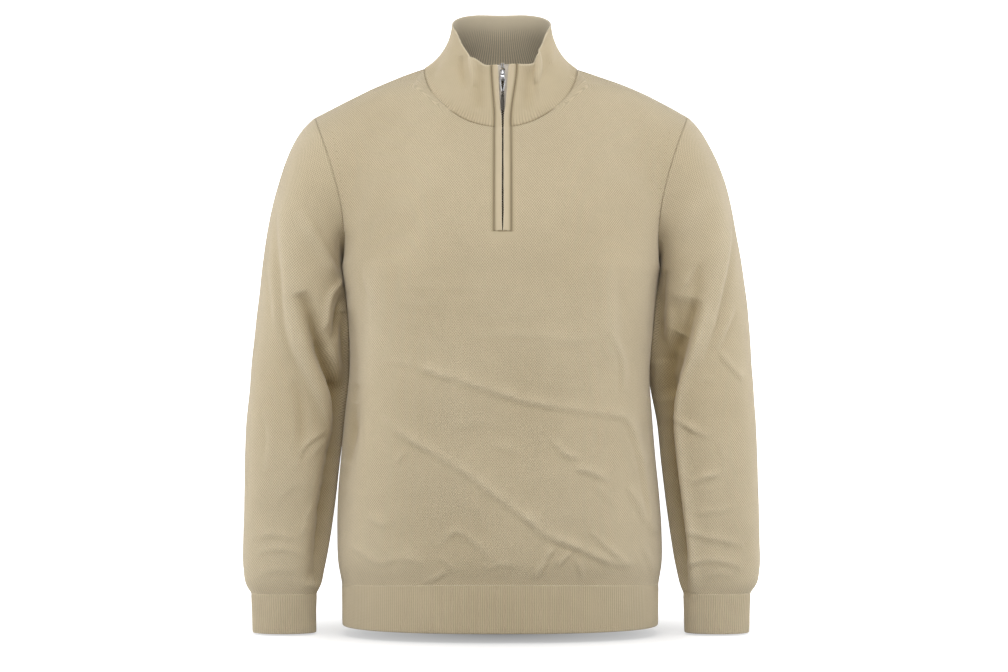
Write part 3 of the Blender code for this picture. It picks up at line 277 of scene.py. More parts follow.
CREASES = folds(
    Face.FRONT,
    # across the body
    (((-147, -361), (-125, -367), (-102, -374), (-72, -383), (-21, -400), (34, -416), (105, -428),
      (151, -435)), 2.2, 9),
    (((-96, -376), (-80, -382), (-63, -387)), 1.3, 6),
    (((-1, -408), (34, -417), (73, -424)), 0.9, 6),
    (((131, -431), (151, -436), (161, -449), (169, -472), (176, -499), (182, -537),
      (188, -580)), 3.4, 8, 0.45),
    (((-152, -431), (-132, -450), (-102, -469), (-72, -488), (-37, -510), (-10, -532), (17, -551),
      (34, -565), (52, -581), (72, -590), (93, -598)), 2.0, 9),
    (((-129, -452), (-110, -466), (-91, -477)), 1.5, 6),
    (((14, -548), (34, -564), (51, -579)), 1.2, 6),
    (((52, -581), (73, -590), (98, -600), (121, -611), (141, -618), (163, -620)), 2.8, 8),
    (((63, -463), (77, -480), (97, -487)), 2.4, 6),
    (((91, -499), (111, -504), (133, -515)), 2.6, 6),
    (((-132, -275), (-88, -273), (-39, -275), (17, -274)), 0.9, 5),
    (((-128, -290), (-101, -295), (-73, -293)), 0.7, 5),
    (((-37, -335), (5, -333), (49, -335), (92, -339), (128, -336)), 1.3, 6),
    (((44, -341), (68, -344), (103, -345)), 0.9, 5),
    (((131, -325), (138, -341), (146, -357), (149, -377), (148, -402)), 2.2, 6, 0.5),
    (((45, -635), (55, -615), (67, -594)), 3.0, 5),
    (((70, -620), (80, -610), (90, -601)), 2.4, 5),
    (((91, -611), (96, -621), (98, -635)), 1.8, 5),
    (((108, -575), (128, -595), (156, -618)), 2.0, 6),
    (((-75, -596), (-67, -586), (-55, -578), (-36, -590), (-12, -614)), 2.0, 6),
    (((-81, -611), (-70, -615), (-59, -629)), 1.4, 5),
    (((-96, -641), (-81, -635), (-66, -626)), 2.2, 5),
    (((-166, -557), (-143, -573)), 2.0, 6),
    (((-129, -492), (-123, -484), (-117, -476)), 1.3, 5),
    (((154, -519), (166, -538), (176, -559), (190, -579)), 2.4, 7, 0.6),
    (((-151, -619), (-123, -611), (-96, -618)), 1.3, 7),
    (((-21, -626), (-1, -619), (21, -622)), 1.2, 6),
    (((-61, -449), (-29, -443), (5, -449)), 0.7, 9),
    (((-20, -469), (9, -476), (30, -488)), 0.9, 8),
    (((-188, -593), (-173, -606), (-151, -619)), 1.4, 7),
    (((173, -596), (181, -611), (186, -629)), 2.0, 5, 0.6),
    (((111, -519), (128, -532), (146, -552)), 0.9, 7),
    (((-39, -543), (-26, -557), (-19, -576)), 0.9, 7),
    # where the front rounds away to the sides
    (((-163, -235), (-164, -288), (-166, -344), (-169, -400)), 2.8, 13, 0.7),
    (((146, -377), (144, -330), (142, -288), (138, -240)), 2.8, 12, 0.7),
    (((-172, -245), (-168, -268), (-157, -290)), 1.4, 6, 0.6),
    # the wearer's right sleeve
    (((-279, -151), (-277, -184), (-271, -251), (-266, -314), (-259, -345), (-247, -376), (-233, -403),
      (-220, -435), (-213, -462)), 5.2, 16, 0.32),
    (((-250, -278), (-240, -303), (-231, -331), (-220, -360), (-206, -386), (-197, -412), (-195, -449),
      (-201, -489)), -19.0, 9.0, 1.0),
    (((-190, -390), (-193, -443), (-204, -499), (-213, -549), (-221, -599), (-230, -642)), -17.0, 15, 1.0),
    (((-227, -331), (-218, -316), (-216, -296), (-212, -280), (-203, -268), (-189, -251)), 4.4, 3.2, 1.0),
    (((-213, -344), (-205, -365), (-198, -390)), 4.0, 5, 1.0),
    (((-208, -337), (-204, -315), (-199, -291), (-189, -275)), -8.0, 5.5, 1.0),
    (((-192, -300), (-190, -330), (-188, -377), (-190, -412)), -15.0, 9, 1.0),
    (((-198, -265), (-222, -220), (-248, -173)), 3.2, 11),
    (((-195, -199), (-193, -219), (-193, -240)), -2.5, 6, 1.0),
    (((-258, -387), (-249, -421), (-248, -462), (-251, -489)), -4.2, 6.5, 1.0),
    (((-253, -497), (-242, -469), (-217, -452)), 2.6, 6),
    (((-235, -484), (-225, -472), (-214, -464)), 1.6, 5),
    (((-310, -586), (-291, -581), (-273, -583), (-255, -588)), 1.6, 6),
    (((-303, -606), (-285, -600), (-263, -601), (-240, -610)), 1.4, 6),
    (((-275, -537), (-260, -522), (-243, -519)), 1.0, 6),
    (((-295, -425), (-290, -457), (-293, -499)), 1.4, 8),
    (((-293, -225), (-285, -275), (-281, -325)), 1.8, 8),
    (((-300, -631), (-280, -625), (-255, -627)), 1.0, 5),
    (((-235, -537), (-244, -555), (-250, -579)), 1.3, 7),
    # the wearer's left sleeve
    (((248, -370), (255, -345), (264, -314), (273, -274), (280, -235), (283, -195), (280, -162),
      (275, -136)), 4.6, 15, 0.3),
    (((253, -352), (264, -314), (273, -274), (280, -235), (283, -195), (280, -158)), 1.8, 2.8, 1.0),
    (((233, -661), (229, -599), (223, -549), (217, -499), (212, -449), (213, -412), (220, -382),
      (229, -357), (240, -322), (250, -288)), -19.0, 22, 0.36),
    (((219, -328), (207, -352), (199, -380), (197, -412)), -11.0, 11, 1.0),
    (((245, -240), (244, -269), (239, -295), (233, -315), (223, -330)), -4.0, 7.0, 1.0),
    (((192, -364), (193, -320), (195, -279), (199, -248)), -12.0, 8.0, 1.0),
    (((212, -284), (227, -289), (243, -298)), 1.5, 5.0),
    (((214, -290), (218, -308), (215, -327)), -2.4, 6, 1.0),
    (((253, -147), (240, -176), (224, -210)), 2.0, 12, 1.0),
    (((213, -433), (235, -448), (258, -461)), 2.8, 6),
    (((234, -518), (255, -510), (280, -504)), 2.2, 6),
    (((228, -575), (248, -583), (273, -589), (303, -595)), 2.4, 7),
    (((230, -619), (253, -614), (275, -615), (300, -622)), 2.4, 6),
    (((253, -634), (270, -630), (288, -632)), 1.6, 5),
    (((233, -552), (258, -554), (295, -547)), 1.2, 6),
    (((268, -350), (280, -325), (291, -295)), 2.4, 7),
    (((269, -352), (281, -369), (298, -388)), 2.4, 6),
    (((268, -462), (273, -481), (275, -502)), 1.2, 6),
    (((243, -391), (255, -388), (268, -392)), 1.2, 5),
    (((223, -288), (235, -263), (248, -240)), 1.8, 8),
    # the collar, where its edge bends
    (((-39, 24), (-38, 4), (-35, -20)), 5.0, 4.5, 0.8),
    (((46, -18), (49, 4), (45, 26)), 5.5, 4.0, 0.7),
    (((63, 6), (67, 26), (68, 46)), 3.0, 4.0, 0.9),
    (((-71, 29), (-81, 9), (-87, -11)), -3.4, 6.5, 1.0),
    (((80, 34), (90, 11), (92, -11)), -4.0, 6.5, 1.0),
    (((-50, 16), (-48, -4), (-45, -26)), -3.0, 5, 1.0),
    (((-24, 3), (-25, -22), (-24, -52)), -5.5, 9, 1.0),
    (((31, 3), (33, -22), (30, -52)), -5.5, 9, 1.0),
) + folds(
    Face.BACK,    # where nothing is seen
    (((-140, -292), (-60, -312), (20, -334), (90, -352), (140, -366)), 2.4, 14),
    (((150, -398), (80, -438), (0, -478), (-70, -505), (-125, -522)), 2.6, 14),
    (((-130, -560), (-60, -576), (10, -590), (100, -604)), 2.2, 12),
    (((-60, -430), (-20, -442), (24, -448)), 1.4, 10),
    (((70, -520), (100, -538), (124, -560)), 1.6, 9),
    (((-110, -180), (-40, -192), (40, -190), (112, -178)), 1.6, 16),
    (((-268, -190), (-258, -260), (-244, -330), (-226, -395), (-214, -450)), 3.6, 12),
    (((-236, -300), (-222, -350), (-206, -400)), -3.5, 9, 1.0),
    (((-300, -590), (-270, -582), (-238, -592)), 1.8, 8),
    (((-296, -470), (-268, -460), (-232, -474)), 1.6, 9),
    (((214, -450), (226, -395), (244, -330), (258, -260), (268, -190)), 3.6, 12),
    (((206, -400), (222, -350), (236, -300)), -3.5, 9, 1.0),
    (((238, -592), (270, -582), (300, -590)), 1.8, 8),
    (((232, -474), (268, -460), (296, -470)), 1.6, 9),
    (((160, -250), (158, -300), (160, -360)), 2.2, 13, 0.8),
    (((-162, -370), (-158, -300), (-160, -244)), 2.2, 13, 0.8),
)


# ---------------------------------------------------------------- small maths
def unit(vectors: np.ndarray) -> np.ndarray:
    """Vectors at length one."""
    length = np.linalg.norm(vectors, axis=-1, keepdims=True)
    return vectors / np.maximum(length, 1e-9)


def hermite(start: Numbers, end: Numbers, leave: Numbers, arrive: Numbers, t: Numbers) -> Numbers:
    """A cubic from start to end with the given velocities there."""
    t2, t3 = t * t, t * t * t
    return ((2 * t3 - 3 * t2 + 1) * start + (-2 * t3 + 3 * t2) * end
            + (t3 - 2 * t2 + t) * leave + (t3 - t2) * arrive)


def smooth(table: tuple, value: str, at: Numbers) -> np.ndarray:
    """A column of a table at any place, on a smooth curve through its rows.

    Args:
        table: rows whose first column is the place.
        value: the wanted column's name.
        at: one place or many.

    Returns:
        The column's value at each place.
    """
    keys = np.array([row[0] for row in table], float)
    values = np.array([getattr(row, value) for row in table], float)
    if keys[0] > keys[-1]:
        keys, values = keys[::-1], values[::-1]
    slopes = np.gradient(values, keys)
    at = np.clip(np.asarray(at, float), keys[0], keys[-1])
    k = np.clip(np.searchsorted(keys, at) - 1, 0, len(keys) - 2)
    gap = keys[k + 1] - keys[k]
    return hermite(values[k], values[k + 1], slopes[k] * gap, slopes[k + 1] * gap, (at - keys[k]) / gap)


def lengths(points: np.ndarray) -> np.ndarray:
    """How far along a line of points each one lies."""
    return np.concatenate([[0.0], np.cumsum(np.linalg.norm(np.diff(points, axis=0), axis=1))])


def resampled(points: np.ndarray, shares: np.ndarray) -> np.ndarray:
    """Points of a line at shares of its length."""
    steps = lengths(points)
    return between(shares * steps[-1], steps, points)


def between(at: np.ndarray, steps: np.ndarray, rows: np.ndarray) -> np.ndarray:
    """Rows at places between the steps where they are known."""
    return np.stack([np.interp(at, steps, column) for column in rows.T], axis=1)


def chained(runs: list[np.ndarray]) -> np.ndarray:
    """Runs end to end, where each starts on the last value of the one before."""
    return np.concatenate([runs[0]] + [run[1:] for run in runs[1:]])


def evenly(start: float, end: float, step: float) -> np.ndarray:
    """Values from start to end, about a step apart."""
    return np.linspace(start, end, max(2, int(round(abs(end - start) / step)) + 1))


def with_edges(values: np.ndarray, first: bool = True, last: bool = True) -> np.ndarray:
    """Values with a few more close to their ends, for a rounded edge."""
    near = np.array(EDGE_STEPS)
    added = [values]
    if first:
        added.append(values[0] + (values[1] - values[0]) * near)
    if last:
        added.append(values[-1] + (values[-2] - values[-1]) * near)
    whole = np.concatenate(added)
    return np.sort(whole) if values[-1] > values[0] else np.sort(whole)[::-1]


def wave(points: np.ndarray, reach: float, shift: float) -> np.ndarray:
    """Slow uneven waves over points, from -1 to 1."""
    spots = points.reshape(-1, 3) / reach + shift
    found = np.array([noise.noise(Vector(p)) for p in spots])
    return found.reshape(points.shape[:-1])


# ---------------------------------------------------------------- the garment's form
@dataclass
class Grid:
    """Rows and columns of points on one piece of cloth, rows climbing, faces outwards."""

    points: np.ndarray                   # the cloth's inner face
    ring: bool = False                   # the last column is the first one again
    aim: np.ndarray | None = None        # outward directions, worked out below
    gone: np.ndarray | None = None       # cells that are cut out
    lift: np.ndarray | None = None       # how far creases and waves raise the cloth

    def __post_init__(self) -> None:
        """Works out the outward directions."""
        p = self.points
        across = np.empty_like(p)
        across[:, 1:-1] = p[:, 2:] - p[:, :-2]
        if self.ring:
            across[:, 0] = across[:, -1] = p[:, 1] - p[:, -2]
        else:
            across[:, 0], across[:, -1] = p[:, 1] - p[:, 0], p[:, -1] - p[:, -2]
        up = np.gradient(p, axis=0)
        self.aim = unit(np.cross(unit(across), unit(up)))

    def rims(self) -> list[tuple]:
        """Index slices of the piece's edges."""
        found = [(0, slice(None)), (-1, slice(None))]
        if not self.ring:
            found += [(slice(None), 0), (slice(None), -1)]
        return found

    def from_rows(self) -> tuple[np.ndarray, np.ndarray]:
        """How far each point lies from the lowest and from the highest row."""
        steps = np.linalg.norm(np.diff(self.points, axis=0), axis=2)
        up = np.concatenate([np.zeros((1, steps.shape[1])), np.cumsum(steps, axis=0)])
        return up, up[-1] - up

    def from_columns(self) -> tuple[np.ndarray, np.ndarray]:
        """How far each point lies from the first and from the last column."""
        steps = np.linalg.norm(np.diff(self.points, axis=1), axis=2)
        over = np.concatenate([np.zeros((steps.shape[0], 1)), np.cumsum(steps, axis=1)], axis=1)
        return over, over[:, -1:] - over


@dataclass
class Pattern:
    """The garment's form, cut into its pieces."""

    cell: float = 3.3                    # spacing of points on the panels
    rib_points: int = 6                  # points across one rib of the collar and cuffs
    hem_points: int = 4                  # and of the hem
    neck_cells: int = 42
    slot_cells: int = 6
    shoulder_cells: int = 42
    upper_cells: int = 66                # armpit to shoulder
    sleeve_cells: int = 76               # armhole to elbow ring
    ease_columns: float = 14.0
    ease_rows: float = 12.0
    ease_times: int = 290
    ease_fade: float = 10.0              # rows below the top edge that keep their corner

    # ------------------------------------------------ body
    def half_section(self, height: float, side: Side, face: Face) -> np.ndarray:
        """Points of one quarter of a section, from the centre line to the side seam."""
        half = smooth(BODY, side.word, height)
        depth = smooth(BODY, face.word, height)
        power = 2.0 / smooth(BODY, "square", height)
        turn = np.linspace(0.0, math.pi / 2, 121)
        x = side.value * half * np.sin(turn) ** power
        y = face.value * depth * np.maximum(np.cos(turn), 0.0) ** power
        return np.stack([x, y, np.full_like(x, height)], axis=1)

    def level(self, height: float, shares: np.ndarray, side: Side, face: Face) -> np.ndarray:
        """Points of the body at or below the armpit, at shares of a quarter's arc."""
        row = resampled(self.half_section(height, side, face), shares)
        if face is Face.FRONT:
            rise = np.interp(height, (HEM_JOIN, HEM_LIFT_ENDS), (1.0, 0.0))
            row[:, 2] += HEM_LIFT * rise * (1.0 - shares ** 2)
        return row

    def neckline(self, turn: float, side: Side, face: Face) -> np.ndarray:
        """A point of the neckline, turn 0 at the centre line and 90 at the neck point."""
        bend = math.radians(turn)
        out, ahead = math.sin(bend), max(0.0, math.cos(bend))
        square = NECK_SQUARE if face is Face.FRONT else NAPE_SQUARE
        reach = (1.0 - min(1.0, out) ** square) ** (1.0 / square)
        x = NECK_POINT[0] * out * side.value
        if face is Face.FRONT:
            return np.array([x, NECK_POINT[1] - NECK_FRONT * reach, -NECK_DROP * ahead ** NECK_DIP])
        return np.array([x, NECK_POINT[1] + NECK_BACK * reach, NAPE_RISE * ahead])

    def slot_turn(self, side: Side) -> float:
        """The neckline's turn at the slot's edge."""
        return math.degrees(math.asin(SLOT[side] / NECK_POINT[0]))

    def shares(self, side: Side, face: Face) -> np.ndarray:
        """Shares across half a panel, from the slot's edge or the centre line to the armhole."""
        start = 0.0
        if face is Face.FRONT:
            start = SLOT[side] / lengths(self.half_section(ARMPIT_HEIGHT, side, face))[-1]
        neck = with_edges(np.linspace(start, NECK_SHARE, self.neck_cells + 1), face is Face.FRONT, False)
        arm = with_edges(np.linspace(NECK_SHARE, 1.0, self.shoulder_cells + 1), False, True)
        return chained([neck, arm])

    def top(self, shares: np.ndarray, side: Side, face: Face) -> np.ndarray:
        """Where the lines across a panel end, on the neckline or the shoulder seam."""
        first = self.slot_turn(side) if face is Face.FRONT else 0.0
        start, ends = shares[0], []
        seam_in, seam_out = np.array(NECK_POINT), np.array(SHOULDER_POINT)
        for across in shares:
            if across <= NECK_SHARE + 1e-9:
                turn = first + (90.0 - first) * (across - start) / (NECK_SHARE - start)
                ends.append(self.neckline(turn, side, face))
            else:
                share = (across - NECK_SHARE) / (1.0 - NECK_SHARE)
                point = seam_in + (seam_out - seam_in) * share
                point[2] += SHOULDER_CROWN * 4 * share * (1 - share)
                ends.append(point * (side.value, 1, 1))
        return np.array(ends)

    def upper(self, shares: np.ndarray, rises: np.ndarray, side: Side, face: Face) -> np.ndarray:
        """Points above the armpit level, rise 0 there and 1 at the top.

        Between the last straight line and the armhole they lie on a patch spanned by those two.
        """
        table = FRONT_PULL if face is Face.FRONT else BACK_PULL
        t = rises[:, None, None]

        def lines(low: np.ndarray, high: np.ndarray, places: np.ndarray) -> np.ndarray:
            """Lines from low to high points, at their places across the panel."""
            leave, arrive = (np.stack([smooth(table, f"{way}_{k}", places) for k in "xyz"], axis=1)
                             * (side.value, 1, 1) for way in ("out", "in"))
            return hermite(low, high, leave, arrive, t)

        low, high = self.level(ARMPIT_HEIGHT, shares, side, face), self.top(shares, side, face)
        grid = lines(low, high, shares)
        patch = (shares > STRAIGHT_SHARE) & (shares < 1.0)
        ends = np.array([STRAIGHT_SHARE, 1.0])
        foot = self.level(ARMPIT_HEIGHT, ends, side, face)
        tops = self.top(np.array([shares[0], STRAIGHT_SHARE, 1.0]), side, face)[1:]
        rails = lines(foot, tops, ends)
        share = ((shares[patch] - STRAIGHT_SHARE) / (1.0 - STRAIGHT_SHARE))[:, None]
        here = rails[:, :1] + (rails[:, 1:] - rails[:, :1]) * share
        flat = foot[0] + (foot[1] - foot[0]) * share
        grid[:, patch] = here + (low[patch] - flat) * hermite(1.0, 0.0, 0.0, 0.0, t)
        return grid

    def rises(self) -> tuple[np.ndarray, float]:
        """The rows above the armpit, with one at the slot's lower end."""
        test = np.linspace(0.0, 1.0, 401)
        shares = self.shares(Side.LEFT, Face.FRONT)
        column = self.upper(shares[[0, -1]], test, Side.LEFT, Face.FRONT)[:, 0, 2]
        at = float(np.interp(ZIP_BOTTOM, column, test))
        rows = with_edges(np.linspace(0.0, 1.0, self.upper_cells + 1), False, True)
        rows[int(np.argmin(np.abs(rows - at)))] = at
        gap = 1.0 / self.upper_cells
        near = at + gap * np.array([-0.4, -0.16, -0.05])
        return np.unique(np.concatenate([rows, near])), at

    def panel(self, face: Face) -> Grid:
        """The front or the back, hem row first."""
        rises, slot = self.rises()
        low = with_edges(evenly(HEM_JOIN, ARMPIT_HEIGHT, self.cell), True, False)
        halves = []
        for side in (Side.RIGHT, Side.LEFT):
            shares = self.shares(side, face)
            lower = np.array([self.level(h, shares, side, face) for h in low])
            halves.append(np.concatenate([lower, self.upper(shares, rises[1:], side, face)]))
        right, left = halves[0][:, ::-1], halves[1]
        if face is Face.FRONT:
            steps = np.linspace(0.0, 1.0, self.slot_cells + 1)[1:-1, None]
            inside = right[:, -1:] + (left[:, :1] - right[:, -1:]) * steps[None, :, :]
            points = np.concatenate([right, inside, left], axis=1)
        else:
            points = np.concatenate([right, left[:, 1:]], axis=1)[:, ::-1]
        points = self.relaxed(points, len(low))
        grid = Grid(points)
        if face is Face.FRONT:
            first = len(low) - 1 + int(np.argmin(np.abs(rises - slot)))
            cells = np.zeros((points.shape[0] - 1, points.shape[1] - 1), bool)
            start = right.shape[1] - 1
            cells[first:, start:start + self.slot_cells] = True
            grid.gone = cells
        return grid

    def relaxed(self, points: np.ndarray, low_rows: int) -> np.ndarray:
        """A panel with the corner at each neck point eased out of the cloth below it."""
        places = np.arange(points.shape[1])
        inward = np.minimum(places, places[::-1]) - self.shoulder_cells - 3
        near = np.exp(-(inward / self.ease_columns) ** 2)
        rows = np.arange(points.shape[0]) - low_rows + 1
        share = np.clip(rows / self.ease_rows, 0.0, 1.0)
        pull = (share[:, None] * near)[1:-1, 1:-1, None]
        eased = points.copy()
        for _ in range(self.ease_times):
            sides = (eased[1:-1, :-2] + eased[1:-1, 2:]) / 2
            eased[1:-1, 1:-1] += (sides - eased[1:-1, 1:-1]) * pull
        fade = np.clip((len(rows) - 1 - np.arange(len(rows))) / self.ease_fade, 0.0, 1.0)
        return points + (eased - points) * fade[:, None, None]

    # ------------------------------------------------ sleeves
    def arm_ring(self, height: float, side: Side, turns: np.ndarray) -> np.ndarray:
        """A level ring of a sleeve, turn 0 outside, 90 in front, 180 nearest the body."""
        name = side.word
        inner = smooth(ARM, f"inner_{name}", height) + CLOTH
        outer = smooth(ARM, f"outer_{name}", height) - CLOTH
        front, back = smooth(ARM, "front", height) + CLOTH, smooth(ARM, "back", height) - CLOTH
        bend = np.radians(turns)
        x = (inner + outer) / 2 + (outer - inner) / 2 * np.cos(bend)
        y = (front + back) / 2 - (back - front) / 2 * np.sin(bend)
        return np.stack([x * side.value, y, np.full_like(x, height)], axis=1)

    def clear_of_body(self, points: np.ndarray, side: Side) -> None:
        """Moves sleeve points out to hang just clear of the body's side."""
        y, z = points[..., 1], points[..., 2]
        half = smooth(BODY, side.word, z)
        depth = np.where(y < 0, smooth(BODY, "front", z), smooth(BODY, "back", z))
        square = smooth(BODY, "square", z)
        share = np.clip(np.abs(y) / depth, 0.0, 1.0)
        reach = half * (1.0 - share ** square) ** (1.0 / square)
        below = ARMPIT_HEIGHT - z
        least = reach + CLOTH * 2 + TOUCH * np.clip(below / 15.0, 0.0, 1.0)
        moved = side.value * np.maximum(np.abs(points[..., 0]), least)
        points[..., 0] = np.where(below > 0, moved, points[..., 0])

    def sleeve(self, side: Side, front: Grid, back: Grid) -> Grid:
        """A sleeve from the cuff to the armhole, its columns round the arm."""
        rows = len(self.rises()[0])
        ahead = front.points[-rows:, -1 if side is Side.LEFT else 0]
        behind = back.points[-rows:, 0 if side is Side.LEFT else -1]
        hole = chained([ahead[::-1], behind])
        even = np.linspace(0.0, 1.0, rows)
        turns = chained([180.0 * even, 360.0 - 180.0 * even[::-1]])
        elbow = self.arm_ring(SLEEVE_RING, side, turns)
        below = self.arm_ring(SLEEVE_RING - 10.0, side, turns)
        inward = (1 - np.cos(np.radians(turns))) / 2         # 0 outside the arm and 1 under it
        reach = (210 - 150 * inward)[:, None]
        leave = np.stack([side.value * (0.80 + 0.20 * inward), 0 * inward, -0.60 + 0.75 * inward], axis=1)
        arrive = unit(below - elbow) * (210 - 110 * inward)[:, None]
        steps = with_edges(np.linspace(0, 1, self.sleeve_cells + 1), True, False)[:-1, None, None]
        upper = hermite(hole, elbow, unit(leave) * reach, arrive, steps)
        heights = with_edges(evenly(SLEEVE_RING, CUFF_JOIN, self.cell), False, True)
        points = np.concatenate([upper, np.array([self.arm_ring(h, side, turns) for h in heights])])
        self.clear_of_body(points[1:], side)
        points = points[::-1, :-1] if side is Side.RIGHT else points[::-1, :0:-1]
        points = np.roll(points, 1 - rows, axis=1)           # the seam runs under the arm
        return Grid(np.concatenate([points, points[:, :1]], axis=1), ring=True)

    def cuff(self, side: Side) -> Grid:
        """A cuff, hung from the sleeve's last ring, with a fixed number of points to each rib."""
        turns = np.linspace(0.0, 360.0, 721)
        rings = [self.arm_ring(h, side, turns) for h in (CUFF_BOTTOM, CUFF_JOIN)]
        return self.ribbed_tube(rings, self.rib_points, side is Side.LEFT)

    def ribbed_tube(self, rings: list[np.ndarray], each: int, turned: bool = False) -> Grid:
        """A tube between a lower and an upper ring, its columns even along the ribs."""
        low, high = (r[::-1] if turned else r for r in rings)
        count = int(round(lengths((low + high) / 2)[-1] / RIB_PITCH)) * each
        shares = np.linspace(0.0, 1.0, count + 1)
        low, high = resampled(low, shares), resampled(high, shares)
        tall = float(np.linalg.norm(high - low, axis=1).mean())
        rises = with_edges(evenly(0.0, tall, 4.5)) / tall
        return Grid(low + (high - low) * rises[:, None, None], ring=True)

    def hem(self) -> Grid:
        """The hem rib, hung from both panels' lower edges."""
        shares = np.linspace(0.0, 1.0, 241)
        ring = chained([self.level(HEM_JOIN, shares, side, face)[::way] for side, face, way in (
            (Side.RIGHT, Face.FRONT, -1), (Side.LEFT, Face.FRONT, 1),
            (Side.LEFT, Face.BACK, -1), (Side.RIGHT, Face.BACK, 1))])
        scale = smooth(BODY, "left", HEM_BOTTOM) / smooth(BODY, "left", HEM_JOIN)
        low = ring * (scale, scale, 0.0) + (0.0, 0.0, HEM_BOTTOM)
        return self.ribbed_tube([low, ring], self.hem_points)

    # ------------------------------------------------ collar
    def collar(self) -> Grid:
        """The stand collar, base row first, from the zip's left edge round to its right."""
        rows = with_edges(evenly(0.0, 1.0, 0.045))
        parts = []
        for side, face in ((Side.LEFT, Face.FRONT), (Side.LEFT, Face.BACK),
                           (Side.RIGHT, Face.BACK), (Side.RIGHT, Face.FRONT)):
            part = self.collar_quarter(side, face, rows)
            parts.append(part if (side is Side.LEFT) == (face is Face.FRONT) else part[::-1])
        whole = chained(parts).transpose(1, 0, 2)
        middle = whole[len(rows) // 2]
        count = int(round(lengths(middle)[-1] / RIB_PITCH)) * self.rib_points
        even = with_edges(np.linspace(0.0, 1.0, count + 1))
        places = np.arange(len(middle))
        spots = np.interp(even, lengths(middle) / lengths(middle)[-1], places)
        return Grid(np.stack([between(spots, places, row) for row in whole]))

    def collar_quarter(self, side: Side, face: Face, rows: np.ndarray) -> np.ndarray:
        """Lines up a quarter of the collar, from the centre line to the neck point."""
        ahead = face is Face.FRONT
        first = self.slot_turn(side) if ahead else 0.0
        edge = abs(getattr(ZIP[0], f"slot_{side.word}"))
        start = math.degrees(math.asin(edge / COLLAR_WIDTH))
        lines = []
        for turn in np.linspace(first, 90.0, 151):
            up = start + (90.0 - start) * (turn - first) / (90.0 - first) if ahead else turn
            bend, inward = math.radians(up), math.sin(math.radians(turn))
            y = -COLLAR_FRONT * math.cos(bend) if ahead else COLLAR_BACK * math.cos(bend)
            height = float(smooth(COLLAR_TOP, side.word, up if ahead else 180.0 - up))
            top = np.array([side.value * COLLAR_WIDTH * math.sin(bend), y, height])
            # the cloth leaves the neckline leaning in beside the neck, and arrives upright
            leave = np.array([-side.value * 58.0 * inward, (24.0 if ahead else -8.0) * (1 - inward),
                              38.0 + 30.0 * (1 - inward)])
            arrive = np.array([0.0, (4.0 if ahead else -10.0) * (1 - inward), 75.0 - 5.0 * (1 - inward)])
            lines.append(hermite(self.neckline(turn, side, face), top, leave, arrive, rows[:, None]))
        return np.array(lines)


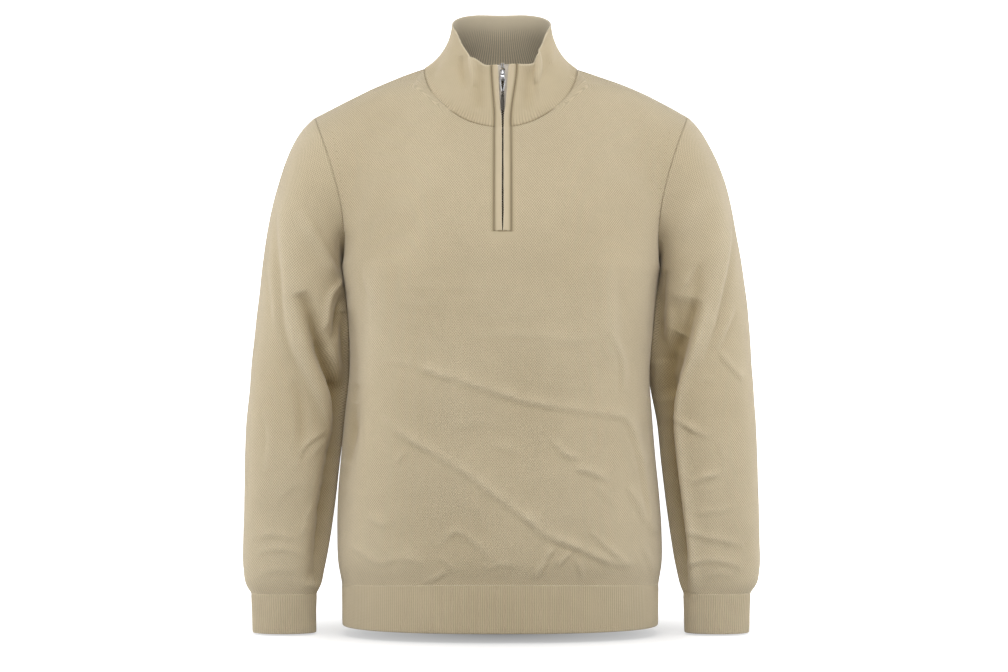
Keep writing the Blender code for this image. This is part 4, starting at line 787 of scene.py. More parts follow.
# ---------------------------------------------------------------- seams and creases
@dataclass
class Fitter:
    """Joins the pieces' directions at their seams and lays the creases."""

    reach: float = 1.8                   # how near two edges lie at a seam
    spread: float = 9.0                  # how far a seam's direction runs into the cloth
    smoothing: int = 300                 # rounds that even out the collar's base

    def share(self, pieces: dict[str, Grid], holes: list[np.ndarray]) -> None:
        """Gives pieces the mean of their directions where they meet.

        Args:
            pieces: every piece of cloth by name.
            holes: the armholes' points, where the mean leans away from the hole's middle.
        """
        spots, owners, normals, places = [], [], [], []
        for owner, piece in enumerate(pieces.values()):
            for rim in piece.rims():
                line, ways = piece.points[rim], piece.aim[rim]
                spots.append(line)
                normals.append(ways)
                owners += [owner] * len(line)
                places.append((piece, rim, len(line)))
        spots, normals, owners = np.concatenate(spots), np.concatenate(normals), np.array(owners)
        tree = KDTree(len(spots))
        for index, spot in enumerate(spots):
            tree.insert(Vector(spot), index)
        tree.balance()
        total = normals.copy()
        for index, spot in enumerate(spots):
            near = np.array([hit[1] for hit in tree.find_range(Vector(spot), self.reach)])
            for owner in set(owners[near]) - {owners[index]}:
                total[index] += unit(normals[near[owners[near] == owner]].mean(axis=0))
        for hole in holes:
            away = unit((hole - hole.mean(axis=0)) * (0.0, 1.0, 1.0)) * HOLE_LEAN
            for point, lean in zip(hole, away):
                for hit in tree.find_range(Vector(point), 0.02):
                    total[hit[1]] = total[hit[1]] + lean
        total, start = unit(total), 0
        for piece, rim, size in places:
            self.blend(piece, rim, total[start:start + size])
            start += size

    def blend(self, piece: Grid, rim: tuple, wanted: np.ndarray) -> None:
        """Turns a rim to the wanted directions, fading into the cloth."""
        change = wanted - piece.aim[rim]
        if isinstance(rim[0], int):
            low, high = piece.from_rows()
            near = low if rim[0] == 0 else high
            piece.aim += change[None] * np.exp(-near / self.spread)[..., None]
        else:
            first, last = piece.from_columns()
            near = first if rim[1] == 0 else last
            piece.aim += change[:, None] * np.exp(-near / self.spread)[..., None]
        piece.aim = unit(piece.aim)
        piece.aim[rim] = unit(wanted)

    def follow_collar(self, collar: Grid, panels: list[Grid]) -> None:
        """Evens out the collar's base directions, and gives them to the necklines."""
        base = collar.aim[0]
        for _ in range(self.smoothing):
            base = unit(np.concatenate([base[:1], base[:-2] + 2 * base[1:-1] + base[2:], base[-1:]]))
        self.blend(collar, (0, slice(None)), base)
        tree = KDTree(len(base))
        for index, spot in enumerate(collar.points[0]):
            tree.insert(Vector(spot), index)
        tree.balance()
        for panel in panels:
            wanted = panel.aim[-1].copy()
            for column, spot in enumerate(panel.points[-1]):
                _, index, gap = tree.find(Vector(spot))
                if gap < self.reach:
                    wanted[column] = base[index]
            self.blend(panel, (-1, slice(None)), wanted)

    def lift(self, points: np.ndarray, aim: np.ndarray) -> np.ndarray:
        """How far the creases and slow waves lift the cloth at each point."""
        flat, ways = points.reshape(-1, 3), aim.reshape(-1, 3)
        total = np.zeros(len(flat))
        scale = -EYE[1] / (flat[:, 1] - EYE[1])
        place, middle = flat[:, [0, 2]], np.array([EYE[0], EYE[2]])
        seen = {Face.FRONT: middle + (place - middle) * scale[:, None], Face.BACK: place}
        for crease in CREASES:
            facing = np.clip(crease.face.value * ways[:, 1] * 1.8 - 0.15, 0.0, 1.0)
            path = self.path(crease.line)
            margin = 3 * crease.wide
            spot = seen[crease.face]
            low, high = path.min(axis=0) - margin, path.max(axis=0) + margin
            near = ((spot > low) & (spot < high)).all(axis=1) & (facing > 0)
            if near.any():
                total[near] += self.profile(crease, path, spot[near]) * facing[near]
        return total.reshape(points.shape[:-1])

    @staticmethod
    def path(line: tuple) -> np.ndarray:
        """A smooth line through a crease's points."""
        knots = np.array(line, float)
        spots = np.arange(len(knots))
        slopes = np.gradient(knots, axis=0)
        at = np.linspace(0.0, len(knots) - 1, 12 * (len(knots) - 1) + 1)
        k = np.clip(at.astype(int), 0, len(knots) - 2)
        t = (at - spots[k])[:, None]
        return hermite(knots[k], knots[k + 1], slopes[k], slopes[k + 1], t)

    @staticmethod
    def profile(crease: Crease, path: np.ndarray, spots: np.ndarray) -> np.ndarray:
        """A crease's height at spots on the elevation."""
        off = spots[:, None, :] - path[None]
        far = (off ** 2).sum(axis=2)
        index = far.argmin(axis=1)
        ways = np.gradient(path, axis=0)
        ways /= np.linalg.norm(ways, axis=1, keepdims=True)
        here, way = off[np.arange(len(spots)), index], ways[index]
        side = way[:, 0] * here[:, 1] - way[:, 1] * here[:, 0]
        share = lengths(path)[index] / lengths(path)[-1]
        run = share * lengths(path)[-1] / 17.0
        uneven = np.array([noise.noise(Vector((at, crease.line[0][0], crease.line[0][1]))) for at in run])
        strength = 0.8 if crease.steep < 0.45 and abs(crease.rise) < 3.5 else 0.2
        envelope = np.sin(np.pi * np.clip(share, 0.0, 1.0)) ** 0.45 * (1.0 + strength * uneven)
        along = (way * here).sum(axis=1)
        envelope = envelope * np.exp(-(along / crease.wide) ** 2)
        steep = crease.wide * crease.steep
        crest = 0.0 if crease.steep >= 1.0 else 0.7 * steep
        reach = np.where(side > crest, crease.wide, steep)
        height = np.exp(-((side - crest) / reach) ** 2)
        if crease.steep < 0.7:
            height = height - 0.3 * np.exp(-((side + 0.9 * steep) / steep) ** 2)
        return crease.rise * height * envelope


@dataclass
class Blocking:
    """Lays a curved piece of knit flat with the least stretch, as a knitter blocks it."""

    every: int = 6                       # grid lines between those that are worked out
    rounds: int = 16
    hold: float = 1e-5                   # keeps the piece from drifting

    def flat(self, piece: Grid) -> np.ndarray:
        """Each point's place on the flat cloth, in millimetres, wales upright."""
        first = self.unrolled(piece)
        picks = [np.unique(np.r_[0:size:self.every, size - 1]) for size in first.shape[:2]]
        some = np.ix_(*picks)
        moved = self.eased(piece.points[some], first[some]) - first[some]
        up, over = piece.from_rows()[0].mean(axis=1), piece.from_columns()[0].mean(axis=0)
        moved = self.through(up[picks[0]], moved, up)
        moved = self.through(over[picks[1]], moved.swapaxes(0, 1), over).swapaxes(0, 1)
        return first + moved

    @staticmethod
    def unrolled(piece: Grid) -> np.ndarray:
        """A first layout: distance up each column, and across from the middle one."""
        low, _ = piece.from_rows()
        steps = np.diff(piece.points, axis=1)
        climb = unit(np.gradient(piece.points, axis=0))
        across = np.linalg.norm(np.cross(steps, (climb[:, 1:] + climb[:, :-1]) / 2), axis=2)
        over = np.concatenate([np.zeros((across.shape[0], 1)), np.cumsum(across, axis=1)], axis=1)
        return np.stack([over - over[:, over.shape[1] // 2][:, None], low], axis=2)

    def eased(self, solid: np.ndarray, flat: np.ndarray) -> np.ndarray:
        """Moves a flat layout until each cell is as near its real shape as it can be."""
        index = np.arange(flat[..., 0].size).reshape(flat.shape[:2])
        corners = [index[:-1, :-1], index[:-1, 1:], index[1:, 1:], index[1:, :-1]]
        cells = np.stack(corners, axis=-1).reshape(-1, 4)
        corners = solid.reshape(-1, 3)[cells]
        corners = corners - corners.mean(axis=1, keepdims=True)
        across = unit(corners[:, 1] + corners[:, 2])
        up = corners[:, 2] + corners[:, 3]
        up = unit(up - across * (across * up).sum(axis=1, keepdims=True))
        real = np.stack([(corners * way[:, None]).sum(axis=2) for way in (across, up)], axis=2)
        sums = self.hold * np.eye(index.size)
        for a in range(4):
            for b in range(4):
                np.add.at(sums, (cells[:, a], cells[:, b]), (a == b) - 0.25)
        solver, spots = np.linalg.inv(sums), flat.reshape(-1, 2)
        for _ in range(self.rounds):
            now = spots[cells] - spots[cells].mean(axis=1, keepdims=True)
            fit = np.einsum("nka,nkb->nab", real, now)
            turn = np.arctan2(fit[:, 0, 1] - fit[:, 1, 0], fit[:, 0, 0] + fit[:, 1, 1])[:, None]
            x, y = real[..., 0], real[..., 1]
            cos, sin = np.cos(turn), np.sin(turn)
            wanted = np.stack([x * cos - y * sin, x * sin + y * cos], axis=2)
            total = self.hold * spots
            np.add.at(total, cells, wanted)
            spots = solver @ total
        return spots.reshape(flat.shape)

    @staticmethod
    def through(knots: np.ndarray, values: np.ndarray, at: np.ndarray) -> np.ndarray:
        """Smooth curves through values at knots, along the first axis."""
        slopes = np.gradient(values, knots, axis=0)
        k = np.clip(np.searchsorted(knots, at) - 1, 0, len(knots) - 2)
        gap = (knots[k + 1] - knots[k])[:, None, None]
        return hermite(values[k], values[k + 1], slopes[k] * gap, slopes[k + 1] * gap,
                       (at - knots[k])[:, None, None] / gap)


# ---------------------------------------------------------------- cloth meshes
def edited(step: Callable, **values: object) -> None:
    """Runs an edit mode operator on the whole active mesh."""
    bpy.ops.object.mode_set(mode="EDIT")
    bpy.ops.mesh.select_all(action="SELECT")
    step(**values)
    bpy.ops.object.mode_set(mode="OBJECT")


def dress(made: bpy.types.Object, material: bpy.types.Material, body: str = "garment",
          node: str | None = None) -> None:
    """Gives a piece its one material and its body, and hides the node that it stands for."""
    made.data.materials.clear()
    made.data.materials.append(material)
    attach(made, body)
    if node:
        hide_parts(node)
    log.info("%s: %d faces on %s", made.name, len(made.data.polygons), body)


class Weaver:
    """Turns grids into closed walls of cloth."""

    def plate(self, outer: np.ndarray, uv: np.ndarray, marks: dict[str, np.ndarray]) -> bpy.types.Object:
        """A grid primitive laid on points.

        Args:
            outer: points in rows and columns.
            uv: their places on the flat cloth.
            marks: values from 0 to 1 at each point, by attribute name.

        Returns:
            The new object.
        """
        rows, cols = outer.shape[:2]
        bpy.ops.mesh.primitive_grid_add(x_subdivisions=cols - 1, y_subdivisions=rows - 1, size=1.0)
        made = bpy.context.object
        mesh = made.data
        mesh.vertices.foreach_set("co", (outer * MM).astype(np.float32).ravel())
        corners = np.zeros(len(mesh.loops), np.int32)
        mesh.loops.foreach_get("vertex_index", corners)
        layer = mesh.uv_layers.active or mesh.uv_layers.new(name="UVMap")
        layer.data.foreach_set("uv", uv.reshape(-1, 2)[corners].astype(np.float32).ravel())
        for name, values in marks.items():
            mark = mesh.attributes.new(name, "FLOAT", "POINT")
            mark.data.foreach_set("value", values.astype(np.float32).ravel())
        mesh.update()
        return made

    def wall(self, name: str, outer: np.ndarray, inner: np.ndarray, uv: np.ndarray, gone: np.ndarray | None,
             marks: dict[str, np.ndarray], inside: dict[str, np.ndarray] | None = None) -> bpy.types.Object:
        """A closed wall from its two faces, which meet at their rims.

        Args:
            name: the new piece's name.
            outer: points of the outer face.
            inner: points of the inner face.
            uv: their places on the flat cloth.
            gone: cells that are cut out.
            marks: values at each point, by attribute name.
            inside: those that differ on the inner face.

        Returns:
            The new piece.
        """
        sides = []
        for points, flip in ((outer, False), (inner, True)):
            side = self.plate(points, uv, {**marks, **(inside or {})} if flip else marks)
            work = bmesh.new()
            work.from_mesh(side.data)
            work.faces.ensure_lookup_table()
            if gone is not None:
                cells = np.flatnonzero(gone.ravel())
                bmesh.ops.delete(work, geom=[work.faces[i] for i in cells], context="FACES")
            if flip:
                bmesh.ops.reverse_faces(work, faces=work.faces)
            work.to_mesh(side.data)
            work.free()
            sides.append(side)
        for side in sides:
            side.select_set(True)
        bpy.context.view_layer.objects.active = sides[0]
        bpy.ops.object.join()
        made = sides[0]
        edited(bpy.ops.mesh.remove_doubles, threshold=0.00001)
        bpy.ops.object.shade_smooth()
        made.name = made.data.name = name
        return made


def rounded(gap: np.ndarray, reach: float = ROUND_EDGE) -> np.ndarray:
    """A wall's share of its thickness at a distance from its edge."""
    short = 1.0 - np.clip(gap / reach, 0.0, 1.0)
    return np.sqrt(np.maximum(1.0 - short ** 2, 0.0))


def near_edge(gap: np.ndarray, reach: float) -> np.ndarray:
    """1 at an edge, falling to 0 away from it."""
    return np.exp(-(gap / reach) ** 2)


# ---------------------------------------------------------------- finishes
@dataclass(frozen=True)
class KnitFinish:
    """Yarn and stitch of one kind of knitted cloth."""

    name: str
    colour: tuple[float, float, float]
    stitch: str                          # the node group that gives the stitch
    wale: float                          # width of one repeat of the stitch
    course: float                        # height of one repeat
    contrast: float                      # painted shade and light: how much darker the stitches' hollows are drawn, and paler their tops
    depth: float                         # of the stitches, in millimetres
    middle: float = 0.5                  # the stitch group's mean height
    rough: float = 0.88
    sheen: float = 0.42


@dataclass(frozen=True)
class MetalFinish:
    """A plated metal."""

    name: str
    colour: tuple[float, float, float]
    rough: float
    scratch: float


PAINTED_SEAM_SHADE = (0.40, 0.36, 0.27)         # painted shade: how dark cloth is drawn into a seam's groove
PAINTED_HOLLOW_SHADE = (0.70, 0.64, 0.50)         # painted shade: share of each colour left in the deepest hollows, mirrored as painted light on crests
KNIT = KnitFinish("khaki_birdseye", (0.490, 0.409, 0.272), "birdseye", 2.89, 3.64, 0.58, 0.45)
RIB = KnitFinish("khaki_rib", (0.476, 0.396, 0.262), "rib_wales", 2.7, 1.7, 0.22, 0.25, 0.64)
BINDING = KnitFinish("khaki_binding", (0.525, 0.440, 0.300), "jersey", 1.3, 1.1, 0.08, 0.10, 0.64)
# real linking stitches, their yarn drawn paler as a painted highlight along the joins' ridge
LINKING = KnitFinish("khaki_linking", (0.680, 0.600, 0.440), "jersey", 0.5, 0.4, 0.10, 0.04, 0.64)
THREAD = KnitFinish("khaki_thread", (0.300, 0.240, 0.140), "jersey", 0.5, 0.4, 0.15, 0.04, 0.64)
TAPE = KnitFinish("woven_tape", (0.56, 0.51, 0.44), "jersey", 0.9, 0.7, 0.20, 0.08, 0.64, 0.8, 0.1)
CHROME = MetalFinish("bright_chrome", (0.50, 0.50, 0.51), 0.38, 0.05)
# painted reflection: a darker copy of the plated metal, standing in for the ring's and tab's dark reflection
CHROME_PAINTED_DARK = MetalFinish("dark_nickel", (0.085, 0.078, 0.068), 0.38, 0.08)
TEETH = MetalFinish("bronze_teeth", (0.030, 0.022, 0.012), 0.75, 0.06)


class NodeBoard:
    """Places and links shader nodes with few words."""

    def __init__(self, tree: bpy.types.NodeTree) -> None:
        """Keeps the tree."""
        self.tree = tree

    def add(self, kind: str, **values: object) -> bpy.types.Node:
        """A new node with its properties set."""
        node = self.tree.nodes.new(kind)
        for name, value in values.items():
            setattr(node, name, value)
        return node

    def feed(self, socket: bpy.types.NodeSocket, value: Fed) -> None:
        """Links a socket to another, or sets it to a constant."""
        if isinstance(value, bpy.types.NodeSocket):
            self.tree.links.new(value, socket)
        else:
            socket.default_value = value

    def math(self, how: str, *values: Fed) -> bpy.types.NodeSocket:
        """The result of a math node."""
        node = self.add("ShaderNodeMath", operation=how)
        for socket, value in zip(node.inputs, values):
            self.feed(socket, value)
        return node.outputs[0]

    def noise(self, place: Fed, scale: float, detail: float = 2.0) -> bpy.types.NodeSocket:
        """A noise value from 0 to 1."""
        node = self.add("ShaderNodeTexNoise")
        self.feed(node.inputs["Vector"], place)
        node.inputs["Scale"].default_value = scale
        node.inputs["Detail"].default_value = detail
        return node.outputs["Fac"]

    def ranged(self, value: Fed, low: float, high: float) -> bpy.types.NodeSocket:
        """A value from 0 to 1 spread between two others."""
        return self.math("MULTIPLY_ADD", value, high - low, low)

    def scaled(self, colour: Fed, share: Fed) -> bpy.types.NodeSocket:
        """A colour times a share."""
        node = self.add("ShaderNodeVectorMath", operation="SCALE")
        self.feed(node.inputs[0], colour)
        self.feed(node.inputs["Scale"], share)
        return node.outputs[0]

    def mixed(self, share: Fed, first: Fed, second: Fed) -> bpy.types.NodeSocket:
        """A colour between two others."""
        node = self.add("ShaderNodeMix", data_type="RGBA")
        for name, value in (("Factor", share), ("A", first), ("B", second)):
            self.feed(node.inputs[name], value)
        return node.outputs["Result"]

    def bump(self, shader: bpy.types.Node, height: Fed, strength: float, depth: float) -> None:
        """Gives a shader a relief of some millimetres' depth."""
        node = self.add("ShaderNodeBump")
        for name, value in (("Strength", strength), ("Distance", depth * MM), ("Height", height)):
            self.feed(node.inputs[name], value)
        self.feed(shader.inputs["Normal"], node.outputs[0])


class Groups:
    """The shader node groups that several finishes share."""

    def __init__(self) -> None:
        """Makes each group once."""
        self.made = {name: getattr(self, name)() for name in ("birdseye", "rib_wales", "jersey", "washed")}

    @staticmethod
    def start(name: str, inputs: dict[str, float], outputs: list[str]) -> tuple:
        """An empty group with its sockets.

        Args:
            name: the group's name.
            inputs: float sockets with their defaults, beside the vector socket Place.
            outputs: names of float outputs.

        Returns:
            The group, its board, and its input and output nodes.
        """
        group = bpy.data.node_groups.new(name, "ShaderNodeTree")
        group.interface.new_socket("Place", in_out="INPUT", socket_type="NodeSocketVector")
        for label, value in inputs.items():
            socket = group.interface.new_socket(label, in_out="INPUT", socket_type="NodeSocketFloat")
            socket.default_value = value
        for label in outputs:
            group.interface.new_socket(label, in_out="OUTPUT", socket_type="NodeSocketFloat")
        board = NodeBoard(group)
        return group, board, board.add("NodeGroupInput"), board.add("NodeGroupOutput")

    def turns(self, board: NodeBoard, source: bpy.types.Node) -> tuple:
        """Wale and course counts at a place on the flat cloth, and a little unevenness."""
        split = board.add("ShaderNodeSeparateXYZ")
        board.feed(split.inputs[0], source.outputs["Place"])
        uneven = board.noise(source.outputs["Place"], 0.35)
        shift = board.ranged(uneven, -0.22, 0.22)
        wales = board.math("DIVIDE", split.outputs[0], source.outputs["Wale"])
        courses = board.math("DIVIDE", split.outputs[1], source.outputs["Course"])
        return board.math("ADD", wales, shift), board.math("ADD", courses, shift)

    def birdseye(self) -> bpy.types.NodeTree:
        """A bird's-eye knit: small knots in staggered rows."""
        group, board, source, sink = self.start("birdseye", {"Wale": 2.5, "Course": 2.5}, ["Height"])
        wales, courses = self.turns(board, source)
        across = board.math("COSINE", board.math("MULTIPLY", wales, 2 * math.pi))
        along = board.math("COSINE", board.math("MULTIPLY", courses, 2 * math.pi))
        knots = board.ranged(board.math("MULTIPLY", across, along), 0.5, 1.0)
        fibre = board.ranged(board.noise(source.outputs["Place"], 1.8, 3.0), -0.25, 0.25)
        board.feed(sink.inputs["Height"], board.math("ADD", knots, fibre))
        return group

    def rib_wales(self) -> bpy.types.NodeTree:
        """One by one rib: a chain of loops up each wale, with hollows between."""
        group, board, source, sink = self.start("rib_wales", {"Wale": 2.7, "Course": 1.7}, ["Height"])
        split = board.add("ShaderNodeSeparateXYZ")
        board.feed(split.inputs[0], source.outputs["Place"])
        wales = board.math("DIVIDE", split.outputs[0], source.outputs["Wale"])
        swell = board.math("ABSOLUTE", board.math("SINE", board.math("MULTIPLY", wales, math.pi)))
        aside = board.math("ABSOLUTE", board.math("SUBTRACT", board.math("FRACT", wales), 0.5))
        courses = board.math("DIVIDE", split.outputs[1], source.outputs["Course"])
        courses = board.math("ADD", courses, board.math("MULTIPLY", aside, 1.2))
        loops = board.math("SINE", board.math("MULTIPLY", courses, 2 * math.pi))
        height = board.math("ADD", swell, board.math("MULTIPLY", loops, 0.22))
        fibre = board.ranged(board.noise(source.outputs["Place"], 1.8, 3.0), -0.2, 0.2)
        board.feed(sink.inputs["Height"], board.math("ADD", height, fibre))
        return group

    def jersey(self) -> bpy.types.NodeTree:
        """Plain fine stitches."""
        group, board, source, sink = self.start("jersey", {"Wale": 1.2, "Course": 1.0}, ["Height"])
        wales, courses = self.turns(board, source)
        swell = board.math("ABSOLUTE", board.math("SINE", board.math("MULTIPLY", wales, math.pi)))
        loops = board.math("SINE", board.math("MULTIPLY", courses, 2 * math.pi))
        board.feed(sink.inputs["Height"], board.math("ADD", swell, board.math("MULTIPLY", loops, 0.4)))
        return group

    def washed(self) -> bpy.types.NodeTree:
        """The uneven tone of washed, garment-dyed cloth."""
        group, board, source, sink = self.start("washed", {}, ["Tone"])
        broad = board.ranged(board.noise(source.outputs["Place"], 9.0, 3.0), -0.06, 0.06)
        fine = board.ranged(board.noise(source.outputs["Place"], 55.0, 4.0), -0.045, 0.045)
        board.feed(sink.inputs["Tone"], board.math("ADD", board.math("ADD", broad, fine), 1.0))
        return group


class Dyer:
    """Makes the materials."""

    def __init__(self) -> None:
        """Builds the shared groups."""
        self.groups = Groups().made

    @staticmethod
    def start(name: str) -> tuple:
        """A new material with its board and shader."""
        made = bpy.data.materials.new(name)
        made.use_nodes = True
        return made, NodeBoard(made.node_tree), made.node_tree.nodes["Principled BSDF"]

    def group(self, board: NodeBoard, name: str, place: Fed, **values: float) -> bpy.types.NodeSocket:
        """The output of a placed group."""
        node = board.add("ShaderNodeGroup", node_tree=self.groups[name])
        board.feed(node.inputs["Place"], place)
        for label, value in values.items():
            node.inputs[label].default_value = value
        return node.outputs[0]

    def knit(self, finish: KnitFinish) -> bpy.types.Material:
        """A knitted cloth."""
        made, board, shader = self.start(finish.name)
        flat = board.add("ShaderNodeUVMap", uv_map="UVMap").outputs[0]
        spot = board.add("ShaderNodeTexCoord").outputs["Object"]
        height = self.group(board, finish.stitch, flat, Wale=finish.wale, Course=finish.course)
        tone = self.group(board, "washed", spot)
        seam, crest, relief = (board.add("ShaderNodeAttribute", attribute_name=name).outputs["Fac"]
                               for name in ("seam", "crest", "relief"))
        height = board.math("MULTIPLY", board.math("SUBTRACT", height, finish.middle), relief)
        # painted shade in the stitches' hollows and painted light on their tops
        tone = board.math("MULTIPLY", tone, board.ranged(height, 1.0, 1.0 + finish.contrast))
        # painted shade in hollows and painted light on crests, by the crest mark
        hollow, proud, sewn = (tuple(c * s for c, s in zip(finish.colour, shades)) + (1.0,)
                               for shades in (PAINTED_HOLLOW_SHADE, tuple(2.0 - s for s in PAINTED_HOLLOW_SHADE), PAINTED_SEAM_SHADE))
        dyed = board.scaled(board.mixed(crest, hollow, proud), tone)
        # painted shade along seams, by the seam mark
        board.feed(shader.inputs["Base Color"], board.mixed(seam, dyed, sewn))
        rough = board.ranged(board.noise(spot, 120.0), finish.rough - 0.06, finish.rough + 0.06)
        board.feed(shader.inputs["Roughness"], rough)
        shader.inputs["Sheen Weight"].default_value = finish.sheen
        shader.inputs["Sheen Roughness"].default_value = 0.5
        shader.inputs["Sheen Tint"].default_value = (1.0, 0.95, 0.86, 1.0)
        shader.inputs["Specular IOR Level"].default_value = 0.25
        board.bump(shader, height, 0.7, finish.depth)
        return made

    def yarn(self, finish: KnitFinish) -> bpy.types.Material:
        """Bare yarn, for stitches without a flat map."""
        made, board, shader = self.start(finish.name)
        spot = board.add("ShaderNodeTexCoord").outputs["Object"]
        dyed = board.scaled(finish.colour, board.ranged(board.noise(spot, 700.0), 0.85, 1.15))
        board.feed(shader.inputs["Base Color"], dyed)
        shader.inputs["Roughness"].default_value = finish.rough
        shader.inputs["Specular IOR Level"].default_value = 0.25
        return made

    def metal(self, finish: MetalFinish) -> bpy.types.Material:
        """A plated metal with fine wear."""
        made, board, shader = self.start(finish.name)
        spot = board.add("ShaderNodeTexCoord").outputs["Object"]
        worn = board.noise(spot, 900.0, 3.0)
        rough = board.ranged(worn, finish.rough - finish.scratch, finish.rough + finish.scratch)
        board.feed(shader.inputs["Roughness"], rough)
        tone = board.ranged(board.noise(spot, 400.0), 0.9, 1.08)
        board.feed(shader.inputs["Base Color"], board.scaled(finish.colour, tone))
        shader.inputs["Metallic"].default_value = 1.0
        board.bump(shader, worn, 0.15, 0.05)
        return made


# ---------------------------------------------------------------- the garment
@dataclass
class Garment:
    """All knitted pieces of the sweater."""

    pattern: Pattern
    fitter: Fitter
    weaver: Weaver
    dyer: Dyer
    pieces: dict[str, Grid] = field(default_factory=dict)
    mids: dict[str, np.ndarray] = field(default_factory=dict)

    def cut(self) -> None:
        """Works out every piece and fits them to each other."""
        front, back = self.pattern.panel(Face.FRONT), self.pattern.panel(Face.BACK)
        self.pieces = {
            "front": front, "back": back,
            "sleeve_left": self.pattern.sleeve(Side.LEFT, front, back),
            "sleeve_right": self.pattern.sleeve(Side.RIGHT, front, back),
            "collar": self.pattern.collar(), "hem_rib": self.pattern.hem(),
            "cuff_left": self.pattern.cuff(Side.LEFT), "cuff_right": self.pattern.cuff(Side.RIGHT)}
        holes = [self.pieces[f"sleeve_{side}"].points[-1] for side in ("left", "right")]
        self.fitter.share(self.pieces, holes)
        self.fitter.follow_collar(self.pieces["collar"], [front, back])
        for name, piece in self.pieces.items():
            middle = piece.points + piece.aim * CLOTH / 2
            lift = self.fitter.lift(middle, piece.aim)
            slow = sum(height * wave(middle, reach, shift) for reach, shift, height in SLOW_WAVES)
            piece.lift = (lift + slow * self.away_from_sleeve(middle)) * self.away_from_zip(middle)
            self.mids[name] = middle + piece.aim * piece.lift[..., None]

    @staticmethod
    def away_from_zip(points: np.ndarray) -> np.ndarray:
        """0 beside the zip, where the cloth lies flat, and 1 well away from it."""
        x, y, z = points[..., 0] - ZIP_CENTRE, points[..., 1], points[..., 2]
        below = np.maximum(ZIP_BOTTOM - 12.0 - z, 0.0)
        far = np.maximum(np.hypot(x, below) - 14.0, 0.0)
        fade = np.interp(z, (-95.0, -60.0), (30.0, 13.0))
        return np.where(y < 0, 1.0 - np.exp(-(far / fade) ** 2), 1.0)

    @staticmethod
    def away_from_sleeve(points: np.ndarray) -> np.ndarray:
        """0 where a sleeve lies against the side below the armpit, and 1 well away from there."""
        x, z = points[..., 0], points[..., 2]
        side = np.where(x < 0, smooth(BODY, "right", z), smooth(BODY, "left", z)) + CLOTH
        far = np.hypot(np.abs(x) - side, np.maximum(z - ARMPIT_HEIGHT, 0.0))
        return 1.0 - np.exp(-(far / 22.0) ** 2)

    def gaps(self, piece: Grid) -> dict[str, np.ndarray]:
        """How far each point lies from each kind of edge of its piece."""
        foot, top = piece.from_rows()
        found = {"foot": foot, "top": top}
        if not piece.ring:
            found["side"] = np.minimum(*piece.from_columns())
        if piece.gone is not None:
            found["slot"] = self.slot_gap(piece)
        return found

    @staticmethod
    def thickness(gaps: dict[str, np.ndarray], tight: str) -> np.ndarray:
        """Half the wall, thinned to nothing at its edges.

        Args:
            gaps: distances from each edge.
            tight: the edge where the next band is linked on, with hardly a groove.

        Returns:
            The half thickness at each point.
        """
        reach = {"slot": 0.6, "foot": ROUND_EDGE, "top": ROUND_EDGE, "side": ROUND_EDGE, tight: LINKED_EDGE}
        return CLOTH / 2 * np.minimum.reduce([rounded(gap, reach[edge]) for edge, gap in gaps.items()])

    @staticmethod
    def slot_gap(piece: Grid) -> np.ndarray:
        """How far each point of the front lies from the zip's slot."""
        rows, cols = np.nonzero(piece.gone)
        first, start, end = rows.min(), cols.min(), cols.max() + 1
        over, _ = piece.from_columns()
        low, _ = piece.from_rows()
        index = np.arange(piece.points.shape[1])
        aside = np.where(index[None] <= start, over[:, start:start + 1] - over, over - over[:, end:end + 1])
        aside = np.maximum(aside, 0.0)
        below = np.maximum(low[first][None] - low, 0.0)
        return np.hypot(aside, below)

    def knitted(self, name: str) -> bpy.types.Object:
        """A panel or sleeve."""
        piece, middle = self.pieces[name], self.mids[name]
        gaps = self.gaps(piece)
        half = self.thickness(gaps, "foot")[..., None]
        armhole = gaps["top"] if piece.ring else gaps["side"]
        # painted shade along the armhole seam, the neck seam and the zip's slot
        seam, relief = 0.36 * near_edge(armhole, 0.9), np.ones_like(armhole)
        if not piece.ring:
            seam = np.maximum(seam, self.neck_seam_painted_shade(piece) * near_edge(gaps["top"], 1.0))
        if "slot" in gaps:
            above = piece.points[..., 2] > ZIP_BOTTOM - 0.5
            seam = np.maximum(seam, np.where(above, ZIP_SEAM_PAINTED_SHADE, 0.12) * near_edge(gaps["slot"], ZIP_SEAM_REACH))
            relief = np.clip(gaps["slot"] / np.where(above, 5.0, 12.0) - 0.2, 0.0, 1.0)
        marks = {"seam": seam, "crest": self.crest(piece), "relief": relief}
        return self.weaver.wall(name + "_knit", middle + piece.aim * half, middle - piece.aim * half,
                                Blocking().flat(piece), piece.gone, marks)

    @staticmethod
    def neck_seam_painted_shade(piece: Grid) -> np.ndarray:
        """How dark the neck seam's painted shade is: light at the zip, where it lies open, and dark beside
        the neck.
        """
        return np.interp(piece.points[..., 2], (-NECK_DROP, -NECK_DROP / 3), (0.22, 0.66))

    @staticmethod
    def crest(piece: Grid) -> np.ndarray:
        """Painted light and shade: 1 on the highest creases and 0 in the deepest hollows, and painted paler
        on the lower outer sides and cuffs.
        """
        x, z = np.abs(piece.points[..., 0]), piece.points[..., 2]
        # painted light: the lower outer sides and cuffs are drawn paler
        painted_lift = 0.15 * np.clip((-430.0 - z) / 200.0, 0.0, 1.0) * np.clip(x / 200.0, 0.0, 1.0) ** 2
        return np.clip(0.5 + painted_lift + piece.lift / 34.0, 0.0, 1.0)

